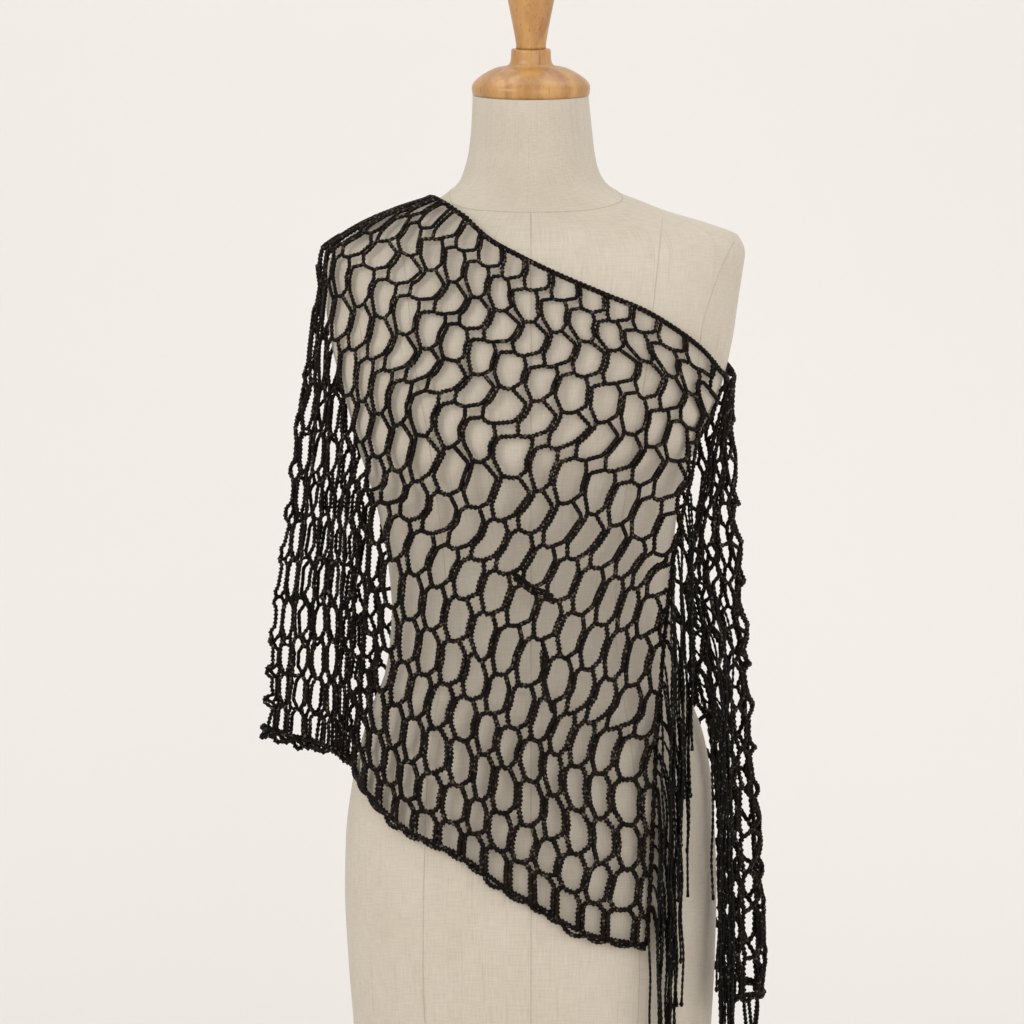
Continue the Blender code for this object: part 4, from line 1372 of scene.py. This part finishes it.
def make_stage():
    """Pale floor, and a strip that runs up from it into a backdrop behind the stand."""
    section = [(STRIP_FRONT, 0.0)]
    for step in range(CURVE_STEPS + 1):
        angle = math.pi / 2 * step / CURVE_STEPS
        y = CURVE_FRONT + CURVE_RADIUS * math.sin(angle)
        section.append((y, STRIP_LIFT + CURVE_RADIUS * (1 - math.cos(angle))))
    section.append((CURVE_FRONT + CURVE_RADIUS, STRIP_TOP))
    points = [(x, y, z) for x in (-STRIP_HALF_WIDTH, STRIP_HALF_WIDTH) for y, z in section]
    count = len(section)
    faces = [(index, index + count, index + count + 1, index + 1) for index in range(count - 1)]
    for x, y in ((-1.0, -1.0), (1.0, -1.0), (1.0, 1.0), (-1.0, 1.0)):
        points.append((x * FLOOR_HALF_WIDTH, y * FLOOR_HALF_WIDTH, 0.0))
    faces.append(tuple(range(2 * count, 2 * count + 4)))
    mesh = bpy.data.meshes.new("studio_sweep")
    mesh.from_pydata(points, [], faces)
    mesh.materials.append(stage_finish())
    mesh.shade_smooth()
    sweep = add_object("studio_sweep", mesh)


def add_light(name, place, aim, width, height, power, colour):
    """Rectangular light turned towards a point."""
    light = bpy.data.lights.new(name, "AREA")
    light.shape = "RECTANGLE"
    light.size, light.size_y = width, height
    light.energy = power
    light.color = colour
    item = add_object(name, light)
    item.location = place
    item.rotation_euler = (Vector(aim) - Vector(place)).to_track_quat("-Z", "Y").to_euler()


def make_studio():
    """Stage, lights and the light of the room."""
    make_stage()
    for numbers in LIGHTS:
        add_light(*numbers)
    world = bpy.data.worlds.new("studio")
    world.use_nodes = True
    background = world.node_tree.nodes["Background"]
    background.inputs["Color"].default_value = WORLD_COLOUR
    background.inputs["Strength"].default_value = WORLD_STRENGTH
    bpy.context.scene.world = world


def make_camera():
    """Level camera in front of the form, shifted so that its axis stands where the picture has it."""
    data = bpy.data.cameras.new("camera")
    data.sensor_width = SENSOR
    data.lens = SENSOR * CAMERA_DISTANCE / (PICTURE * PIXEL)
    data.shift_x = -(AXIS_PIXEL - PICTURE / 2) / PICTURE
    camera = add_object("camera", data)
    camera.location = (0.0, -CAMERA_DISTANCE * MM, CAMERA_HEIGHT * MM)
    camera.rotation_euler = (math.pi / 2, 0.0, 0.0)
    bpy.context.scene.camera = camera
    bpy.context.scene.view_settings.view_transform = "Standard"


def make_poncho():
    """The net, its edgings, its knot and its fringes."""
    net_yarn, cord_yarn, fringe_yarn = [yarn_finish(*numbers) for numbers in YARNS]
    cloth = Cloth()
    net = Net(cloth)
    yarns = {}
    for index, (name, _, _) in enumerate(NET_PIECES):
        spacing = BACK_RING_SPACING if name.startswith("back") else RING_SPACING
        yarns[name] = Yarn(NET_SEED + index, spacing)
    net.lay_columns(yarns)
    net.lay_rows(yarns)
    net.lay_snags(yarns)
    net.lay_selvedges(yarns)
    panels = {"front_net_middle": ("front_panel",), "back_net_middle": ("back_panel",)}
    pieces = {name: yarn.finish(name, net_yarn, "net", panels.get(name, ())) for name, yarn in yarns.items()}
    neckline = make_neckline(cloth, cord_yarn)
    hem = make_hem(cloth, cord_yarn)
    front_fringe = make_fringe("front_fringe_strands", "front", FRONT_FRINGE, FRONT_LAYERS, fringe_yarn)
    back_fringe = make_fringe("back_fringe_strands", "back", BACK_FRINGE, BACK_LAYERS, fringe_yarn)
    knot = make_knot(fringe_yarn)


def main():
    """Makes all the pieces and the studio."""
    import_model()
    make_camera()
    make_studio()
    wood = wood_finish()
    metal = metal_finish()
    neck_top = Vector((0.0, FORM[-1][5], FORM[-1][0]))
    floor = Vector((0.0, 0.0, 0.0))
    cap, finial = rounded(CAP_PROFILE, PROFILE_STEPS), rounded(FINIAL_PROFILE, PROFILE_STEPS)
    make_form(linen_finish())
    make_seams(seam_finish())
    make_turned("beech_cap", cap, BROAD_SIDES, neck_top, NECK_LEAN, wood, ("neck_cap",))
    make_turned("beech_finial", finial, FINIAL_SIDES, neck_top, NECK_LEAN, wood, ("neck_finial",))
    make_turned("stand_tube", POLE_PROFILE, POLE_SIDES, floor, 0.0, metal, ("stand_pole",))
    make_turned("stand_disc", BASE_PROFILE, BROAD_SIDES, floor, 0.0, metal, ("stand_base",))
    make_poncho()


main()
